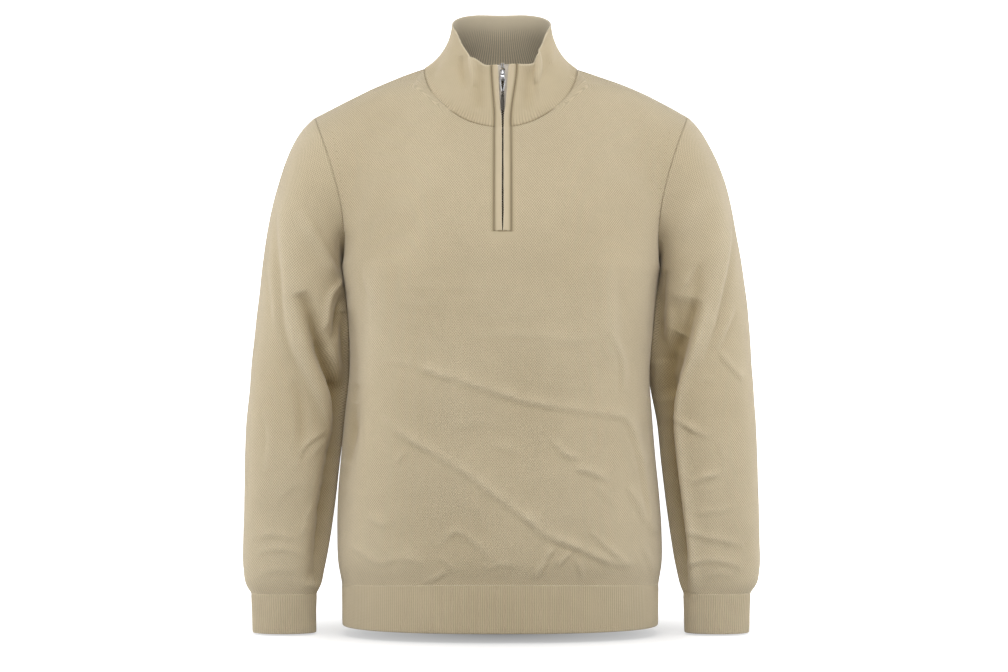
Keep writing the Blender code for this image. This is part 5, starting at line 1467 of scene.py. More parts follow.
    def ribbed(self, name: str) -> bpy.types.Object:
        """A ribbed band, its wales raised outside and their backs hollow inside."""
        piece, middle = self.pieces[name], self.mids[name]
        gaps, collar = self.gaps(piece), name == "collar"
        if collar:
            over, _ = piece.from_columns()
            row = over[over.shape[0] // 2]
            turn = row / row[-1] * round(row[-1] / RIB_PITCH)
        else:
            each = self.pattern.hem_points if name == "hem_rib" else self.pattern.rib_points
            turn = np.arange(piece.points.shape[1]) / each
        half = self.thickness(gaps, "none" if collar else "top")
        clear = np.minimum.reduce(list(gaps.values()))
        fade = np.clip((clear - 0.4) / 2.5, 0.0, 1.0)
        rise = COLLAR_RISE if collar else BAND_RISE
        wales = rise * (np.abs(np.sin(np.pi * turn))[None] ** 0.8 - 0.5) * fade
        crest, shown, hidden = self.crest(piece), np.ones_like(half), np.ones_like(half)
        seam, inside = np.zeros_like(half), None
        if collar:
            # the ribs are boldest at the foot, and the inside is plain below its top edge
            shown = 0.28 + 0.85 * near_edge(gaps["foot"], 10.0)
            hidden = 2.4 * np.clip((gaps["top"] - 17.0) / 5.0, 0.0, 1.0)
            # painted light: the collar's inside is drawn paler
            inside = {"seam": seam, "crest": np.clip(crest + 0.5, 0.0, 1.0), "relief": hidden}
            # painted shade along the neck seam and the zip's edges
            neck = self.neck_seam_painted_shade(piece) * near_edge(gaps["foot"], 1.1)
            seam = np.maximum(neck, ZIP_SEAM_PAINTED_SHADE * near_edge(gaps["side"], ZIP_SEAM_REACH))
            # painted highlight along the collar's rolled top edge
            crest = np.clip(crest + 0.25 * near_edge(gaps["top"], 1.8), 0.0, 1.0)
        marks = {"seam": seam, "crest": crest, "relief": shown}
        flat = np.stack([np.broadcast_to(turn[None] * RIB_PITCH, half.shape), gaps["foot"]], axis=2)
        outer = middle + piece.aim * (half + wales * shown)[..., None]
        inner = middle - piece.aim * (half - wales * np.minimum(hidden, 1.2))[..., None]
        return self.weaver.wall(name + "_rib", outer, inner, flat, None, marks, inside)

    def make(self) -> None:
        self.cut()
        knit, rib = self.dyer.knit(KNIT), self.dyer.knit(RIB)
        for name in ("front", "back", "sleeve_left", "sleeve_right"):
            self.declare(self.knitted(name), name, knit)
        for name in ("collar", "hem_rib", "cuff_left", "cuff_right"):
            self.declare(self.ribbed(name), name, rib)

    def declare(self, made: bpy.types.Object, node: str, material: bpy.types.Material) -> None:
        """Dresses a piece, and works out the width and length of what shows of it."""
        dress(made, material, node=node)
        piece = self.pieces[node]
        width = float(piece.from_columns()[0][:, -1].max())
        length = float(piece.from_rows()[0][-1].max())

    @staticmethod
    def area(piece: Grid) -> float:
        """The flat area of a piece, in square metres."""
        p = piece.points * MM
        sides = np.cross(p[1:, 1:] - p[:-1, :-1], p[1:, :-1] - p[:-1, 1:])
        cells = np.linalg.norm(sides, axis=2) / 2
        if piece.gone is not None:
            cells = cells * ~piece.gone
        return float(cells.sum())


# ---------------------------------------------------------------- small hard and sewn parts
@dataclass
class Seat:
    """A place for a rigid part: its origin, and its lean about X in radians."""

    origin: Vector
    lean: float

    def matrix(self) -> Matrix:
        """The turn and shift, for meshes in metres."""
        return Matrix.Translation(self.origin * MM) @ Matrix.Rotation(self.lean, 4, "X")


def mirrored(half: list[tuple[float, float]]) -> list[tuple[float, float]]:
    """A whole outline from its half at x of 0 or more, in order round it."""
    return half + [(-x, z) for x, z in reversed(half) if x]


class Bench:
    """Makes small parts from primitives.  Their own axes are x aside, -y proud and z up the zip."""

    @staticmethod
    def mended(made: bpy.types.Object, name: str) -> bpy.types.Object:
        """Names a part, turns its faces outwards and smooths it."""
        edited(bpy.ops.mesh.normals_make_consistent, inside=False)
        made.name = made.data.name = name
        bpy.ops.object.shade_smooth_by_angle(angle=math.radians(38))
        return made

    def bevelled(self, made: bpy.types.Object, width: float, rounds: int = 3) -> None:
        """Rounds a part's edges."""
        bevel = made.modifiers.new("edges", "BEVEL")
        bevel.width, bevel.segments = width * MM, rounds
        bevel.limit_method, bevel.angle_limit = "ANGLE", math.radians(28)
        bpy.context.view_layer.objects.active = made
        bpy.ops.object.modifier_apply(modifier="edges")

    @staticmethod
    def extruded(corners: list[tuple], way: tuple) -> bpy.types.Object:
        """A disc shaped to corners and extruded, both in millimetres."""
        bpy.ops.mesh.primitive_circle_add(vertices=len(corners), radius=1.0, fill_type="NGON")
        made = bpy.context.object
        for vertex, corner in zip(made.data.vertices, corners):
            vertex.co = [c * MM for c in corner]
        edited(bpy.ops.mesh.extrude_region_move, TRANSFORM_OT_translate={"value": [c * MM for c in way]})
        return made

    def plate(self, name: str, outline: list, thick: float, edge: float,
              proud: float = 0.0) -> bpy.types.Object:
        """A plate with an outline in x and z, extruded and bevelled.

        Args:
            name: the part's name.
            outline: x and z of its corners.
            thick: its thickness.
            edge: the radius of its edges.
            proud: how far forward its middle lies.

        Returns:
            The plate.
        """
        corners = [(x, thick / 2 - proud, z) for x, z in outline]
        made = self.mended(self.extruded(corners, (0.0, -thick, 0.0)), name)
        if edge:
            self.bevelled(made, edge)
        return made

    def block(self, name: str, size: tuple, place: tuple, edge: float, rounds: int = 3) -> bpy.types.Object:
        """A block with rounded edges."""
        bpy.ops.mesh.primitive_cube_add(size=1.0)
        made = bpy.context.object
        for vertex in made.data.vertices:
            vertex.co = [(c * s + p) * MM for c, s, p in zip(vertex.co, size, place)]
        self.mended(made, name)
        if edge:
            self.bevelled(made, edge, rounds)
        return made

    def bent_bar(self, name: str, path: list[Vector], radius: float, flat: float = 1.0,
                 sides: int = 12) -> bpy.types.Object:
        """A bar bent along a closed path: a torus whose rings lie along it.

        Args:
            name: the part's name.
            path: the bar's middle, in order round a loop.
            radius: half its width.
            flat: its depth as a share of its width.
            sides: corners of its section.

        Returns:
            The bar.
        """
        bpy.ops.mesh.primitive_torus_add(major_segments=len(path), minor_segments=sides, major_radius=1.0,
                                         minor_radius=0.2)
        made = bpy.context.object
        middle = sum(path, Vector()) / len(path)
        normal = (path[len(path) // 3] - path[0]).cross(path[2 * len(path) // 3] - path[0]).normalized()
        for k, point in enumerate(path):
            run = (path[(k + 1) % len(path)] - path[k - 1]).normalized()
            out = run.cross(normal).normalized()
            out = out if out.dot(point - middle) > 0 else -out
            for j in range(sides):
                turn = math.tau * j / sides
                spot = point + out * radius * math.cos(turn) + normal * radius * flat * math.sin(turn)
                made.data.vertices[k * sides + j].co = spot * MM
        return self.mended(made, name)

    @staticmethod
    def joined(parts: list[bpy.types.Object], name: str) -> bpy.types.Object:
        """Several parts as one piece."""
        bpy.ops.object.select_all(action="DESELECT")
        for part in parts:
            part.select_set(True)
        bpy.context.view_layer.objects.active = parts[0]
        bpy.ops.object.join()
        parts[0].name = parts[0].data.name = name
        bpy.ops.object.select_all(action="DESELECT")
        return parts[0]


@dataclass
class Stitch:
    """One small form that repeats along a line, kept as points and faces."""

    points: np.ndarray
    faces: list[tuple[int, ...]]

    @classmethod
    def bead(cls, long: float, wide: float, tall: float) -> "Stitch":
        """A short rounded bead of yarn, long along x and tall along z."""
        bpy.ops.mesh.primitive_uv_sphere_add(segments=6, ring_count=4, radius=0.5)
        return cls.taken((long, wide, tall), -1)

    @classmethod
    def tooth(cls, long: float, wide: float, tall: float) -> "Stitch":
        """A zip tooth: a block with bevelled edges."""
        bpy.ops.mesh.primitive_cube_add(size=1.0)
        bevel = bpy.context.object.modifiers.new("edges", "BEVEL")
        bevel.width, bevel.segments = 0.22, 1
        bpy.ops.object.modifier_apply(modifier="edges")
        return cls.taken((long, wide, tall), 1)

    @classmethod
    def taken(cls, size: tuple[float, float, float], order: int) -> "Stitch":
        """The active primitive as a form, with x and z swapped where the order is -1."""
        base = bpy.context.object
        points = np.array([v.co for v in base.data.vertices])[:, ::order] * size
        faces = [tuple(p.vertices)[::order] for p in base.data.polygons]
        bpy.data.objects.remove(base, do_unlink=True)
        return cls(points, faces)

    def row(self, name: str, places: np.ndarray, along: np.ndarray, out: np.ndarray) -> bpy.types.Object:
        """The form repeated as one mesh.

        Args:
            name: the new piece's name.
            places: where each copy's middle lies.
            along: the direction of each copy's length.
            out: the direction of each copy's height.

        Returns:
            The new piece.
        """
        along = unit(along)
        side = unit(np.cross(out, along))
        out = np.cross(along, side)
        spots = places[:, None]
        for k, axis in enumerate((along, side, out)):
            spots = spots + self.points[None, :, k:k + 1] * axis[:, None]
        size = len(self.points)
        faces = [tuple(k * size + i for i in face) for k in range(len(places)) for face in self.faces]
        mesh = bpy.data.meshes.new(name)
        mesh.from_pydata((spots.reshape(-1, 3) * MM).tolist(), [], faces)
        made = bpy.data.objects.new(name, mesh)
        bpy.context.scene.collection.objects.link(made)
        bpy.context.view_layer.objects.active = made
        made.select_set(True)
        bpy.ops.object.shade_smooth()
        made.select_set(False)
        return made


@dataclass
class Sewing:
    """The linking, seam ticks and fashioning marks on the knitted pieces."""

    garment: Garment
    dyer: Dyer
    link_pitch: float = 2.1
    tick_pitch: float = 2.7

    def line(self, name: str, form: Stitch, points: np.ndarray, aims: np.ndarray, pitch: float, proud: float,
             upright: bool, material: bpy.types.Material, slot: str) -> None:
        """One row of stitches along a line of points.

        Args:
            name: the new piece's name.
            form: the stitch.
            points: the line, on the cloth's middle face.
            aims: the cloth's outward directions there.
            pitch: distance between stitches.
            proud: how far the stitches lie out from the line.
            upright: whether each stitch stands across the line.
            material: its finish.
            slot: not used.
        """
        steps = lengths(points)
        at = evenly(steps[0] + pitch / 2, steps[-1] - pitch / 2, pitch)
        spots, outs = between(at, steps, points), unit(between(at, steps, aims))
        along = np.gradient(spots, axis=0)
        if upright:
            along = np.cross(outs, along)
        dress(form.row(name, spots + outs * proud, along, outs), material)

    def bar(self, path: "ZipPath", thread: bpy.types.Material) -> None:
        """The bar of close stitches across the zip's foot."""
        x = np.linspace(ZIP_CENTRE - 5.6, ZIP_CENTRE + 5.6, 17)
        points = path.place(ZIP_BOTTOM + 0.5, x, 0.0)
        outs = path.place(ZIP_BOTTOM + 0.5, x, 1.0) - points
        self.line("zip_bar", Stitch.bead(1.5, 0.6, 0.5), points, outs, 0.7, CLOTH / 2 + 0.12, True,
                  thread, "knit")

    def make(self, path: "ZipPath") -> None:
        """Sews every seam that shows."""
        linking, thread = self.dyer.yarn(LINKING), self.dyer.yarn(THREAD)
        self.bar(path, thread)
        pieces, mids = self.garment.pieces, self.garment.mids
        chain = Stitch.bead(2.0, 0.95, 0.55)
        for name in ("hem_rib", "cuff_left", "cuff_right"):
            self.line(f"linking_{name}", chain, mids[name][-1], pieces[name].aim[-1], self.link_pitch,
                      CLOTH / 2 + 0.02, False, linking, "rib")
        tick = Stitch.bead(1.7, 0.7, 0.5)
        collar = pieces["collar"]
        low = int(np.argmin(np.abs(collar.from_rows()[0][:, 0] - 1.1)))
        self.line("ticks_collar", tick, mids["collar"][low], collar.aim[low], self.tick_pitch,
                  CLOTH / 2 - 0.05, True, thread, "rib")
        mark = Stitch.bead(2.2, 0.8, 0.5)
        front = pieces["front"]
        for side, edge, step in (("right", 0, 1), ("left", -1, -1)):
            column = edge + step * 8
            rows = slice(-62, -18)
            self.line(f"fashioning_{side}", mark, mids["front"][rows, column], front.aim[rows, column], 9.5,
                      CLOTH / 2 - 0.08, True, thread, "knit")


@dataclass
class ZipPath:
    """The cloth's middle face across the zip: four points in each row, from right to left."""

    points: np.ndarray
    aims: np.ndarray

    @classmethod
    def of(cls, garment: Garment) -> "ZipPath":
        """Reads the edges of the front's slot and of the collar."""
        front, collar = garment.pieces["front"], garment.pieces["collar"]
        rows, cols = np.nonzero(front.gone)
        first, start, end = rows.min(), cols.min(), cols.max() + 1
        picks = [start - 5, start, end, end + 5]
        low = [garment.mids["front"][first:, picks], front.aim[first:, picks]]
        ends = [-6, -1, 0, 5]
        high = [garment.mids["collar"][1:][:, ends], collar.aim[1:][:, ends]]
        return cls(np.concatenate([low[0], high[0]]), np.concatenate([low[1], high[1]]))

    def place(self, height: Numbers, x: Numbers, proud: Numbers) -> np.ndarray:
        """Points at heights along the zip, x values across it and distances out from it."""
        height, x, proud = np.broadcast_arrays(*(np.asarray(v, float) for v in (height, x, proud)))
        share = (ZIP_CENTRE - self.points[:, 1, 0]) / (self.points[:, 2, 0] - self.points[:, 1, 0])
        level = self.points[:, 1, 2] + (self.points[:, 2, 2] - self.points[:, 1, 2]) * share
        spots = np.interp(height.ravel(), level, np.arange(len(level)))
        k = np.clip(spots.astype(int), 0, len(level) - 2)
        t = (spots - k)[:, None, None]
        row = self.points[k] * (1 - t) + self.points[k + 1] * t
        aim = self.aims[k] * (1 - t) + self.aims[k + 1] * t
        found = np.empty((height.size, 3))
        for index, (points, aims, at, out) in enumerate(zip(row, aim, x.ravel(), proud.ravel())):
            point = [np.interp(at, points[:, 0], points[:, c]) for c in range(3)]
            way = np.array([np.interp(at, points[:, 0], aims[:, c]) for c in range(3)])
            found[index] = point + way / np.linalg.norm(way) * out
        return found.reshape(height.shape + (3,))

    def seat(self, high: float, low: float, at: float, proud: float) -> Seat:
        """A seat on the zip's middle line, leaning as the line does between two heights."""
        top, foot = self.place([high, low], ZIP_CENTRE, 0.0)
        lean = -math.atan2(top[1] - foot[1], top[2] - foot[2])
        middle = Vector(self.place(at, ZIP_CENTRE, 0.0))
        return Seat(middle + Matrix.Rotation(lean, 3, "X") @ Vector((0.0, -proud, 0.0)), lean)

    def top(self) -> float:
        """The height of the collar's edge at the zip."""
        return float(self.points[-1, 1:3, 2].mean())


@dataclass
class Zip:
    """The zip with its binding strips, tapes, teeth, stops, slider and pull."""

    path: ZipPath
    bench: Bench
    dyer: Dyer
    pivot: Vector                        # the pull's axis, from the record
    strip_half: float = 1.05             # half the strips' thickness
    strip_points: int = 24               # round a strip's section
    tape_width: float = 14.0
    tape_behind: float = 1.5             # tape's front face, behind the cloth's middle
    tape_thick: float = 0.9
    spread_from: float = -16.0           # the tapes part above this height
    spread_top: float = 1.35             # and stand this far from the middle at the top
    tooth_pitch: float = 2.1
    slider_top: float = -6.4
    slider_foot: float = -19.8
    slider_face: float = 0.75            # how far its front plate stands out from the cloth's middle
    link_long: float = 15.6
    eye_down: float = 22.6               # the tab's eye, below the pivot
    tab_down: float = 41.4               # the tab's end, below the pivot

    # ------------------------------------------------ cloth
    def spread(self, height: np.ndarray) -> np.ndarray:
        """How far each tape stands from the middle."""
        return np.interp(height, (self.spread_from, -4.0), (0.0, self.spread_top))

    def strips(self, material: bpy.types.Material) -> None:
        """The two flattened tubes of plain knit beside the zip."""
        top = self.path.top()
        heights = with_edges(evenly(ZIP_BOTTOM + 0.2, top + 0.4, 2.6))
        for side in Side:
            name = side.word
            sign = side.value
            row = self.path.points
            slot = np.interp(heights, row[:, 1:3, 2].mean(axis=1), row[:, 1 if sign < 0 else 2, 0])
            free = smooth(ZIP, f"strip_{name}", heights)
            free = free + 0.22 * np.array([noise.noise(Vector((sign * 3.1, h / 11.0, 2.0))) for h in heights])
            corner = np.clip((heights - (top - 3.0)) / 3.0, 0.0, 1.0)
            free = free + sign * 1.6 * (1 - np.sqrt(1 - 0.97 * corner ** 2))
            turns = np.linspace(0.0, math.tau, self.strip_points + 1)
            middle, half = (slot + free) / 2, np.abs(slot - free) / 2 - 0.04
            flat = np.cos(turns)
            thick = self.strip_half * np.abs(np.sin(turns)) ** 0.45 * np.sign(np.sin(turns))
            pinch = rounded(np.minimum(heights - heights[0], heights[-1] - heights), 1.2)[:, None]
            x = middle[:, None] + half[:, None] * flat[None] * sign
            points = self.path.place(heights[:, None], x, thick[None] * pinch * sign)
            if sign < 0:
                points = points[:, ::-1]
            around = lengths(np.stack([flat * float(half.mean()), thick], axis=1))
            uv = np.stack(np.broadcast_arrays(around[None], heights[:, None]), axis=2)
            gap = np.abs(x - slot[:, None])
            # painted highlight along the strip's free edge
            pale = 0.5 + 0.2 * near_edge(np.abs(x - free[:, None]), 1.1)
            # painted shade along the strip's sewn edge
            marks = {"seam": 0.8 * near_edge(gap, 2.1), "crest": pale, "relief": np.ones(x.shape)}
            made = Weaver().plate(points, uv, marks)
            edited(bpy.ops.mesh.remove_doubles, threshold=0.000012)
            self.bench.mended(made, f"zip_binding_{name}_plain")
            bpy.ops.object.shade_smooth()
            self.wear(made, f"zip_binding_{name}", material,
                      (2.0 * float(half.mean()) + 2.0, top - ZIP_BOTTOM))

    def wear(self, made: bpy.types.Object, node: str, material: bpy.types.Material,
             flat: tuple[float, float]) -> None:
        """Dresses a cloth piece of the zip, and logs its flat size."""
        dress(made, material, node=node)
        log.info("flat %.1f by %.0f mm", *flat)

    def tapes(self, material: bpy.types.Material) -> None:
        """The woven tapes behind the strips, each with a corded inner edge."""
        top = self.path.top() + 1.5
        heights = evenly(ZIP_BOTTOM - 8.0, top, 3.0)
        shares = np.concatenate([np.linspace(0.0, 0.16, 7), np.linspace(0.2, 1.0, 11)])
        for side in Side:
            name, sign = side.word, side.value
            start = self.spread(heights)[:, None] + 0.15
            x = ZIP_CENTRE + sign * (start + (self.tape_width - start) * shares[None])
            cord = 0.55 * np.sqrt(np.maximum(0.0, 1.0 - ((shares - 0.075) / 0.075) ** 2))
            half = self.tape_thick / 2 * rounded((1 - shares) * self.tape_width, 0.5)
            half = np.where(shares < 0.15, cord, half)
            half[0] = 0.0
            middle = -(self.tape_behind + self.tape_thick / 2)
            ends = rounded(np.minimum(heights - heights[0], heights[-1] - heights), 0.6)[:, None]
            faces = [self.path.place(heights[:, None], x, middle + s * half[None] * ends) for s in (1, -1)]
            across = shares
            if sign < 0:
                faces = [f[:, ::-1] for f in faces]
                across = 1 - shares[::-1]
            uv = np.stack(np.broadcast_arrays(across[None] * self.tape_width, heights[:, None]), axis=2)
            # painted shade: the tape's middle edge is darkened where it lies deep between the strips
            dark = np.where(heights[:, None] < self.spread_from - 22.0, 1.0, 0.3)
            dark = dark * near_edge(x - ZIP_CENTRE, 1.8)
            marks = {"seam": dark, "crest": np.full(x.shape, 0.5), "relief": np.ones(x.shape)}
            made = Weaver().wall(f"zip_tape_{name}_woven", faces[0], faces[1], uv, None, marks)
            self.wear(made, f"zip_tape_{name}", material, (self.tape_width, top - ZIP_BOTTOM + 8.0))

    # ------------------------------------------------ metal
    def teeth(self, material: bpy.types.Material) -> None:
        """Interlocked teeth below the slider, and parted ones above it."""
        form = Stitch.tooth(2.7, 1.95, 1.15)
        for side in Side:
            sign = side.value
            heights = np.arange(ZIP_BOTTOM + 3.0, -4.5, self.tooth_pitch)
            heights = heights + (self.tooth_pitch / 2 if sign > 0 else 0.0)
            heights = heights[(heights < self.slider_foot + 1.0) | (heights > self.slider_top - 2.0)]
            reach = self.spread(heights) + 0.75
            places = self.path.place(heights, ZIP_CENTRE + sign * reach, -self.tape_behind - 0.45)
            outs = self.path.place(heights, ZIP_CENTRE + sign * reach, -self.tape_behind + 0.55) - places
            along = np.tile(np.array([sign * 1.0, 0.0, 0.0]), (len(heights), 1))
            made = form.row(f"zip_teeth_{side.word}", places, along, outs)
            dress(made, material)

    def stops(self, chrome: bpy.types.Material, tape: bpy.types.Material) -> None:
        """The two top stops, clamped over the tapes' corded edges, and the tapes' tips above them."""
        seat = self.path.seat(-1.0, -12.0, -1.0, -0.35)
        for side in Side:
            aside = side.value * 1.3
            parts = [self.bench.block("clamp", (1.25, 1.7, 5.4), (aside, 0.0, -0.2), 0.42),
                     self.bench.block("lip_low", (1.5, 1.95, 0.7), (aside, 0.0, -2.5), 0.25),
                     self.bench.block("lip_high", (1.45, 1.9, 0.6), (aside, 0.0, 2.1), 0.25)]
            stop = self.bench.joined(parts, f"zip_stop_{side.word}_clamp")
            stop.data.transform(seat.matrix())
            dress(stop, chrome, node=f"zip_stop_{side.word}")
            tip = self.bench.block(f"zip_tape_tip_{side.word}", (1.15, 1.2, 2.6),
                                   (aside * 0.92, 0.1, 3.1 - 0.5 * (side is Side.LEFT)), 0.5)
            tip.data.transform(seat.matrix())
            dress(tip, tape)

    def slider(self, chrome: bpy.types.Material) -> None:
        """The slider: two plates on a post, flanges, a nose, and a domed bridge over the pull's bar."""
        middle = (self.slider_top + self.slider_foot) / 2
        top, foot = self.slider_top - middle, self.slider_foot - middle
        long = top - foot
        seat = self.path.seat(self.slider_top, self.slider_foot, middle, 0.0)
        outline = mirrored([(2.2, foot), (2.95, foot + 0.62 * long), (2.8, foot + 0.8 * long), (1.5, top)])
        face = self.slider_face
        parts = [self.bench.plate("plate_front", outline, 1.1, 0.32, face - 0.55),
                 self.bench.plate("plate_back", outline, 1.1, 0.32, -3.2),
                 self.bench.block("post", (1.1, 3.4, 2.4), (0.0, 1.3, top - 1.7), 0.3)]
        for sign in (-1, 1):
            flange = [(sign * 2.9, foot + 0.64 * long), (sign * 2.2, foot + 0.2), (sign * 1.6, foot + 0.2),
                      (sign * 2.3, foot + 0.64 * long)]
            parts.append(self.bench.plate("flange", flange, 1.3, 0.2, face - 1.3))
        outline = mirrored([(0.0, top - 0.1), (0.75, top - 0.9), (2.35, top - 4.9), (2.1, top - 5.45)])
        nose = self.bench.plate("nose", outline, 1.5, 0.0, face + 0.75)
        for vertex in nose.data.vertices:
            z, y = vertex.co.z / MM, vertex.co.y / MM
            if y < -face - 0.5:
                rise = 0.25 + 1.3 * (top - z) / 5.45 if z > top - 5.3 else 1.45
                vertex.co.y = -(face + rise) * MM
                vertex.co.x *= 0.62
                vertex.co.z = (z - (0.35 if z > top - 2 else -0.35)) * MM
        self.bench.bevelled(nose, 0.22)
        body = self.bench.joined(parts + [nose, self.bridge(top - 6.6, foot + 0.7, face)], "zip_slider_body")
        body.data.transform(seat.matrix())
        dress(body, chrome, node="zip_slider")

    def bridge(self, high: float, low: float, face: float) -> bpy.types.Object:
        """The slider's domed bridge, open at its sides for the pull's bar."""
        profile = [(0.3, low), (-2.6, low + 0.1), (-3.1, low + 0.8), (-3.25, (low + high) / 2),
                   (-2.9, high - 0.9), (-2.2, high - 0.1), (0.3, high), (0.3, high - 1.1),
                   (-1.85, high - 1.35), (-2.0, low + 1.15), (0.3, low + 1.0)]
        made = self.bench.extruded([(-0.5, y - face, z) for y, z in profile], (1.0, 0.0, 0.0))
        for vertex in made.data.vertices:
            share = (vertex.co.z / MM - low) / (high - low)
            vertex.co.x *= 3.5 + 1.5 * min(1.0, share * 1.2)
        self.bench.mended(made, "bridge")
        self.bench.bevelled(made, 0.55, 4)
        return made

    def pull(self, chrome: bpy.types.Material, dark: bpy.types.Material) -> None:
        """The pull: a stirrup on the bridge, a small ring and a tab that hang from it."""
        top, foot = self.path.place([self.pivot.z, self.pivot.z - self.tab_down], ZIP_CENTRE, 0.0)
        lean = -math.atan2(top[1] - foot[1], top[2] - foot[2])
        seat = Seat(self.pivot, lean)
        long = self.link_long
        loop = mirrored([(0.0, 0.0), (1.5, 0.0), (2.6, -0.05), (2.95, -0.7), (2.95, -2.4), (2.8, -4.8),
                         (2.4, -7.4), (1.95, -9.8), (1.5, -12.2), (1.15, -14.0), (0.7, -long + 0.3),
                         (0.0, -long)])
        spots = resampled(np.array(loop + loop[:1]), np.linspace(0.0, 1.0, 57))[:-1]
        link = self.bench.bent_bar("link", [Vector((x, 0.0, z)) for x, z in spots], 0.82, 0.8)
        knob = self.bench.block("knob", (3.5, 1.9, 1.9), (0.0, 0.0, -long + 0.1), 0.8, 4)
        stirrup = self.bench.joined([link, knob], "zip_pull_stirrup")

        high, low = -long + 1.6, -self.eye_down + 0.55
        tall, deep = (high - low) / 2, 1.45
        loop = [Vector((0.0, deep * math.sin(turn), (high + low) / 2 + tall * math.cos(turn)))
                for turn in np.linspace(0.0, math.tau, 33)[:-1]]
        ring = self.bench.bent_bar("zip_pull_ring", loop, 0.42)

        # the ring and tab take the darker copy of the metal, a painted dark reflection
        for part, material, slot, node in ((stirrup, chrome, "chrome", "zip_pull"),
                                           (ring, dark, "dark_metal", None),
                                           (self.tab(), dark, "dark_metal", None)):
            part.data.transform(seat.matrix())
            dress(part, material, "pull", node)

    def tab(self) -> bpy.types.Object:
        """The tab: a flat eye, and a long plate with a raised field."""
        eye, low = -self.eye_down, -self.tab_down
        loop = [Vector((1.62 * math.sin(turn), 0.0, eye + 1.62 * math.cos(turn)))
                for turn in np.linspace(0.0, math.tau, 29)[:-1]]
        eyelet = self.bench.bent_bar("eyelet", loop, 0.62, 1.15)
        outline = mirrored([(1.45, eye - 1.2), (1.85, eye - 2.4), (1.9, eye - 10.0), (1.65, eye - 14.5),
                            (1.35, low + 1.3), (0.9, low + 0.35), (0.0, low)])
        blade = self.bench.plate("blade", outline, 1.45, 0.4)
        outline = mirrored([(1.05, eye - 3.4), (1.1, eye - 10.5), (0.8, low + 3.2), (0.0, low + 2.4)])
        raised = self.bench.plate("field", outline, 1.75, 0.2)
        return self.bench.joined([eyelet, blade, raised], "zip_pull_tab")

    def make(self) -> None:
        """Builds and dresses the whole zip."""
        binding, tape = self.dyer.knit(BINDING), self.dyer.knit(TAPE)
        chrome, dark, bronze = self.dyer.metal(CHROME), self.dyer.metal(CHROME_PAINTED_DARK), self.dyer.metal(TEETH)
        self.strips(binding)
        self.tapes(tape)
        self.teeth(bronze)
        self.stops(chrome, tape)
        self.slider(chrome)
        self.pull(chrome, dark)


# ---------------------------------------------------------------- studio
PAPER = (0.7, 0.7, 0.7)
AIM = (0.0, 0.0, -0.35)                  # where the lamps point
LAMPS = (                                # name, place and size in metres, power in watts
    ("right_box", (-1.9, -1.9, 0.15), (1.3, 1.9), 17.5),
    ("left_box", (1.9, -1.9, 0.15), (1.3, 1.9), 17.0),
    ("right_strip", (-2.2, -1.0, -0.4), (1.3, 2.0), 11.5),
    ("left_strip", (2.2, -1.0, -0.4), (1.3, 2.0), 14.5),
    ("right_side", (-2.0, 0.1, -0.55), (1.2, 1.8), 21.0),
    ("left_side", (2.0, 0.1, -0.55), (1.2, 1.8), 15.0),
    ("right_rim", (-1.9, 1.0, -0.3), (1.2, 2.0), 14.0),
    ("left_rim", (1.9, 1.0, -0.3), (1.2, 2.0), 18.0),
    ("top_front", (0.0, -2.0, 1.9), (2.0, 1.0), 37.0),
    ("top", (0.0, -0.7, 2.0), (2.0, 1.0), 17.0),
    ("top_back", (0.0, 0.9, 1.8), (2.0, 1.0), 4.0),
)


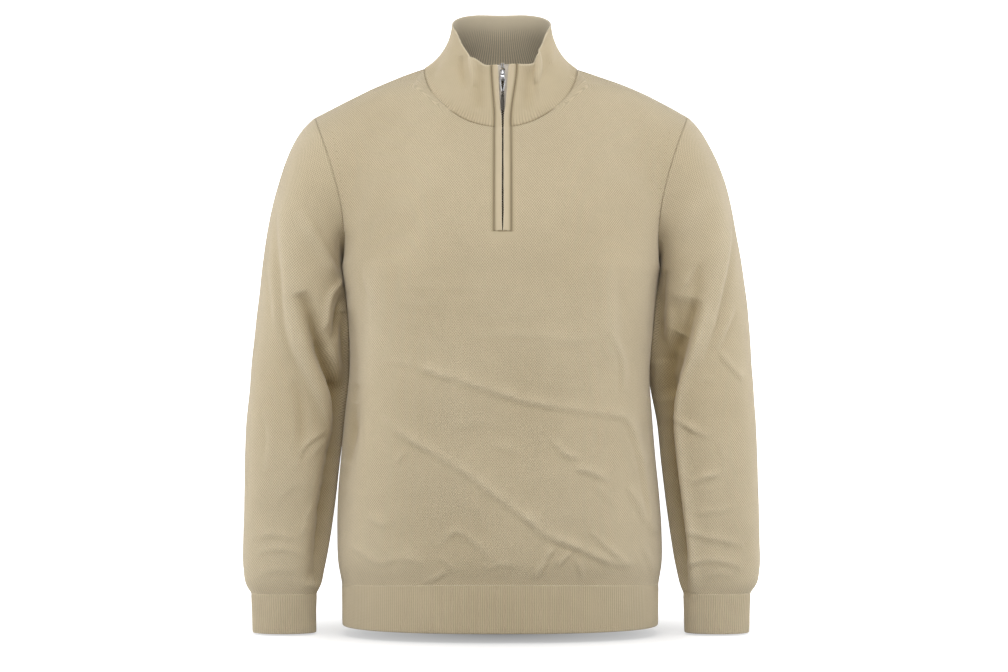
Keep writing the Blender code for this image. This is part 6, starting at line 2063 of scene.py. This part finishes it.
@dataclass
class Studio:
    """Floor, backdrop, soft light and camera, in metres."""

    floor: float = -0.7015
    front: float = -6.0                  # where the paper starts on the floor
    back: float = 2.2                    # where it starts to curve up
    radius: float = 1.0                  # of that curve
    wall: float = 4.0                    # how far it climbs above the curve
    width: float = 16.0
    rows: int = 48
    lens: float = 94.66
    glow: float = 1.00                   # what the paper adds for the camera alone
    shade: tuple[float, float] = (0.30, 0.204)   # half sizes of the soft shadow painted on the floor round the garment

    def sweep(self) -> None:
        """A pale floor that curves up into a backdrop."""
        bpy.ops.mesh.primitive_grid_add(x_subdivisions=2, y_subdivisions=self.rows, size=1.0)
        sheet = bpy.context.object
        sheet.name = "studio_sweep"
        flat, curve = self.back - self.front, math.pi / 2 * self.radius
        run = np.linspace(0.0, 1.0, self.rows + 1) * (flat + curve + self.wall)
        for vertex in sheet.data.vertices:
            d = run[int(round((vertex.co.y + 0.5) * self.rows))]
            turn = np.clip((d - flat) / self.radius, 0.0, math.pi / 2)
            y = self.front + min(d, flat) + self.radius * math.sin(turn)
            z = self.radius * (1 - math.cos(turn)) + max(d - flat - curve, 0.0)
            vertex.co = (vertex.co.x * self.width, y, z + self.floor)
        bpy.ops.object.shade_smooth()
        material = bpy.data.materials.new("studio_paper")
        material.use_nodes = True
        shader = material.node_tree.nodes["Principled BSDF"]
        shader.inputs["Roughness"].default_value = 0.95
        shader.inputs["Emission Color"].default_value = (1.0, 1.0, 1.0, 1.0)
        board = NodeBoard(material.node_tree)
        scaled = board.add("ShaderNodeVectorMath", operation="MULTIPLY")
        board.feed(scaled.inputs[0], board.add("ShaderNodeTexCoord").outputs["Object"])
        scaled.inputs[1].default_value = (1 / self.shade[0], 1 / self.shade[1], 0.0)
        far = board.add("ShaderNodeVectorMath", operation="LENGTH")
        board.feed(far.inputs[0], scaled.outputs[0])
        # painted shadow: the paper's colour and glow fade near the garment
        clear_of_painted_shadow = board.math("MINIMUM", board.ranged(far.outputs["Value"], 0.2, 0.72), 1.0)
        board.feed(shader.inputs["Base Color"], board.scaled(PAPER, clear_of_painted_shadow))
        seen = board.add("ShaderNodeLightPath").outputs["Is Camera Ray"]
        glow = board.math("MULTIPLY", board.math("MULTIPLY", seen, self.glow), clear_of_painted_shadow)
        board.feed(shader.inputs["Emission Strength"], glow)
        sheet.data.materials.append(material)

    def lamp(self, name: str, place: tuple, size: tuple, power: float) -> None:
        """A soft box."""
        bpy.ops.object.light_add(type="AREA", location=place)
        lamp = bpy.context.object
        lamp.name = name
        lamp.data.shape = "RECTANGLE"
        lamp.data.size, lamp.data.size_y = size
        lamp.data.energy = power
        way = Vector(AIM) - Vector(place)
        lamp.rotation_euler = way.to_track_quat("-Z", "Y").to_euler()

    def make(self) -> None:
        """Sets the whole studio."""
        self.sweep()
        for lamp in LAMPS:
            self.lamp(*lamp)
        world = bpy.data.worlds.new("studio")
        world.use_nodes = True
        sky = world.node_tree.nodes["Background"].inputs
        sky["Color"].default_value = (1.0, 1.0, 1.0, 1.0)
        sky["Strength"].default_value = 0.01
        bpy.context.scene.world = world
        bpy.context.scene.view_settings.view_transform = "Standard"
        bpy.ops.object.camera_add(location=[c * MM for c in EYE], rotation=(math.pi / 2, 0.0, 0.0))
        camera = bpy.context.object
        camera.name = "camera"
        camera.data.lens = self.lens
        camera.data.sensor_width = 36.0
        bpy.context.scene.camera = camera


def main() -> None:
    """Builds the sweater's looks piece by piece."""
    logging.basicConfig(level=logging.INFO, format="%(message)s")
    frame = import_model()
    bpy.ops.object.select_all(action="DESELECT")
    dyer = Dyer()
    garment = Garment(Pattern(), Fitter(), Weaver(), dyer)
    garment.make()
    path = ZipPath.of(garment)
    Sewing(garment, dyer).make(path)
    joint = frame["record"]["behaviour"]["joints"][0]
    Zip(path, Bench(), dyer, Vector(joint["pos_m"]) / MM).make()
    bpy.ops.object.select_all(action="DESELECT")
    Studio().make()


if __name__ == "__main__":
    main()
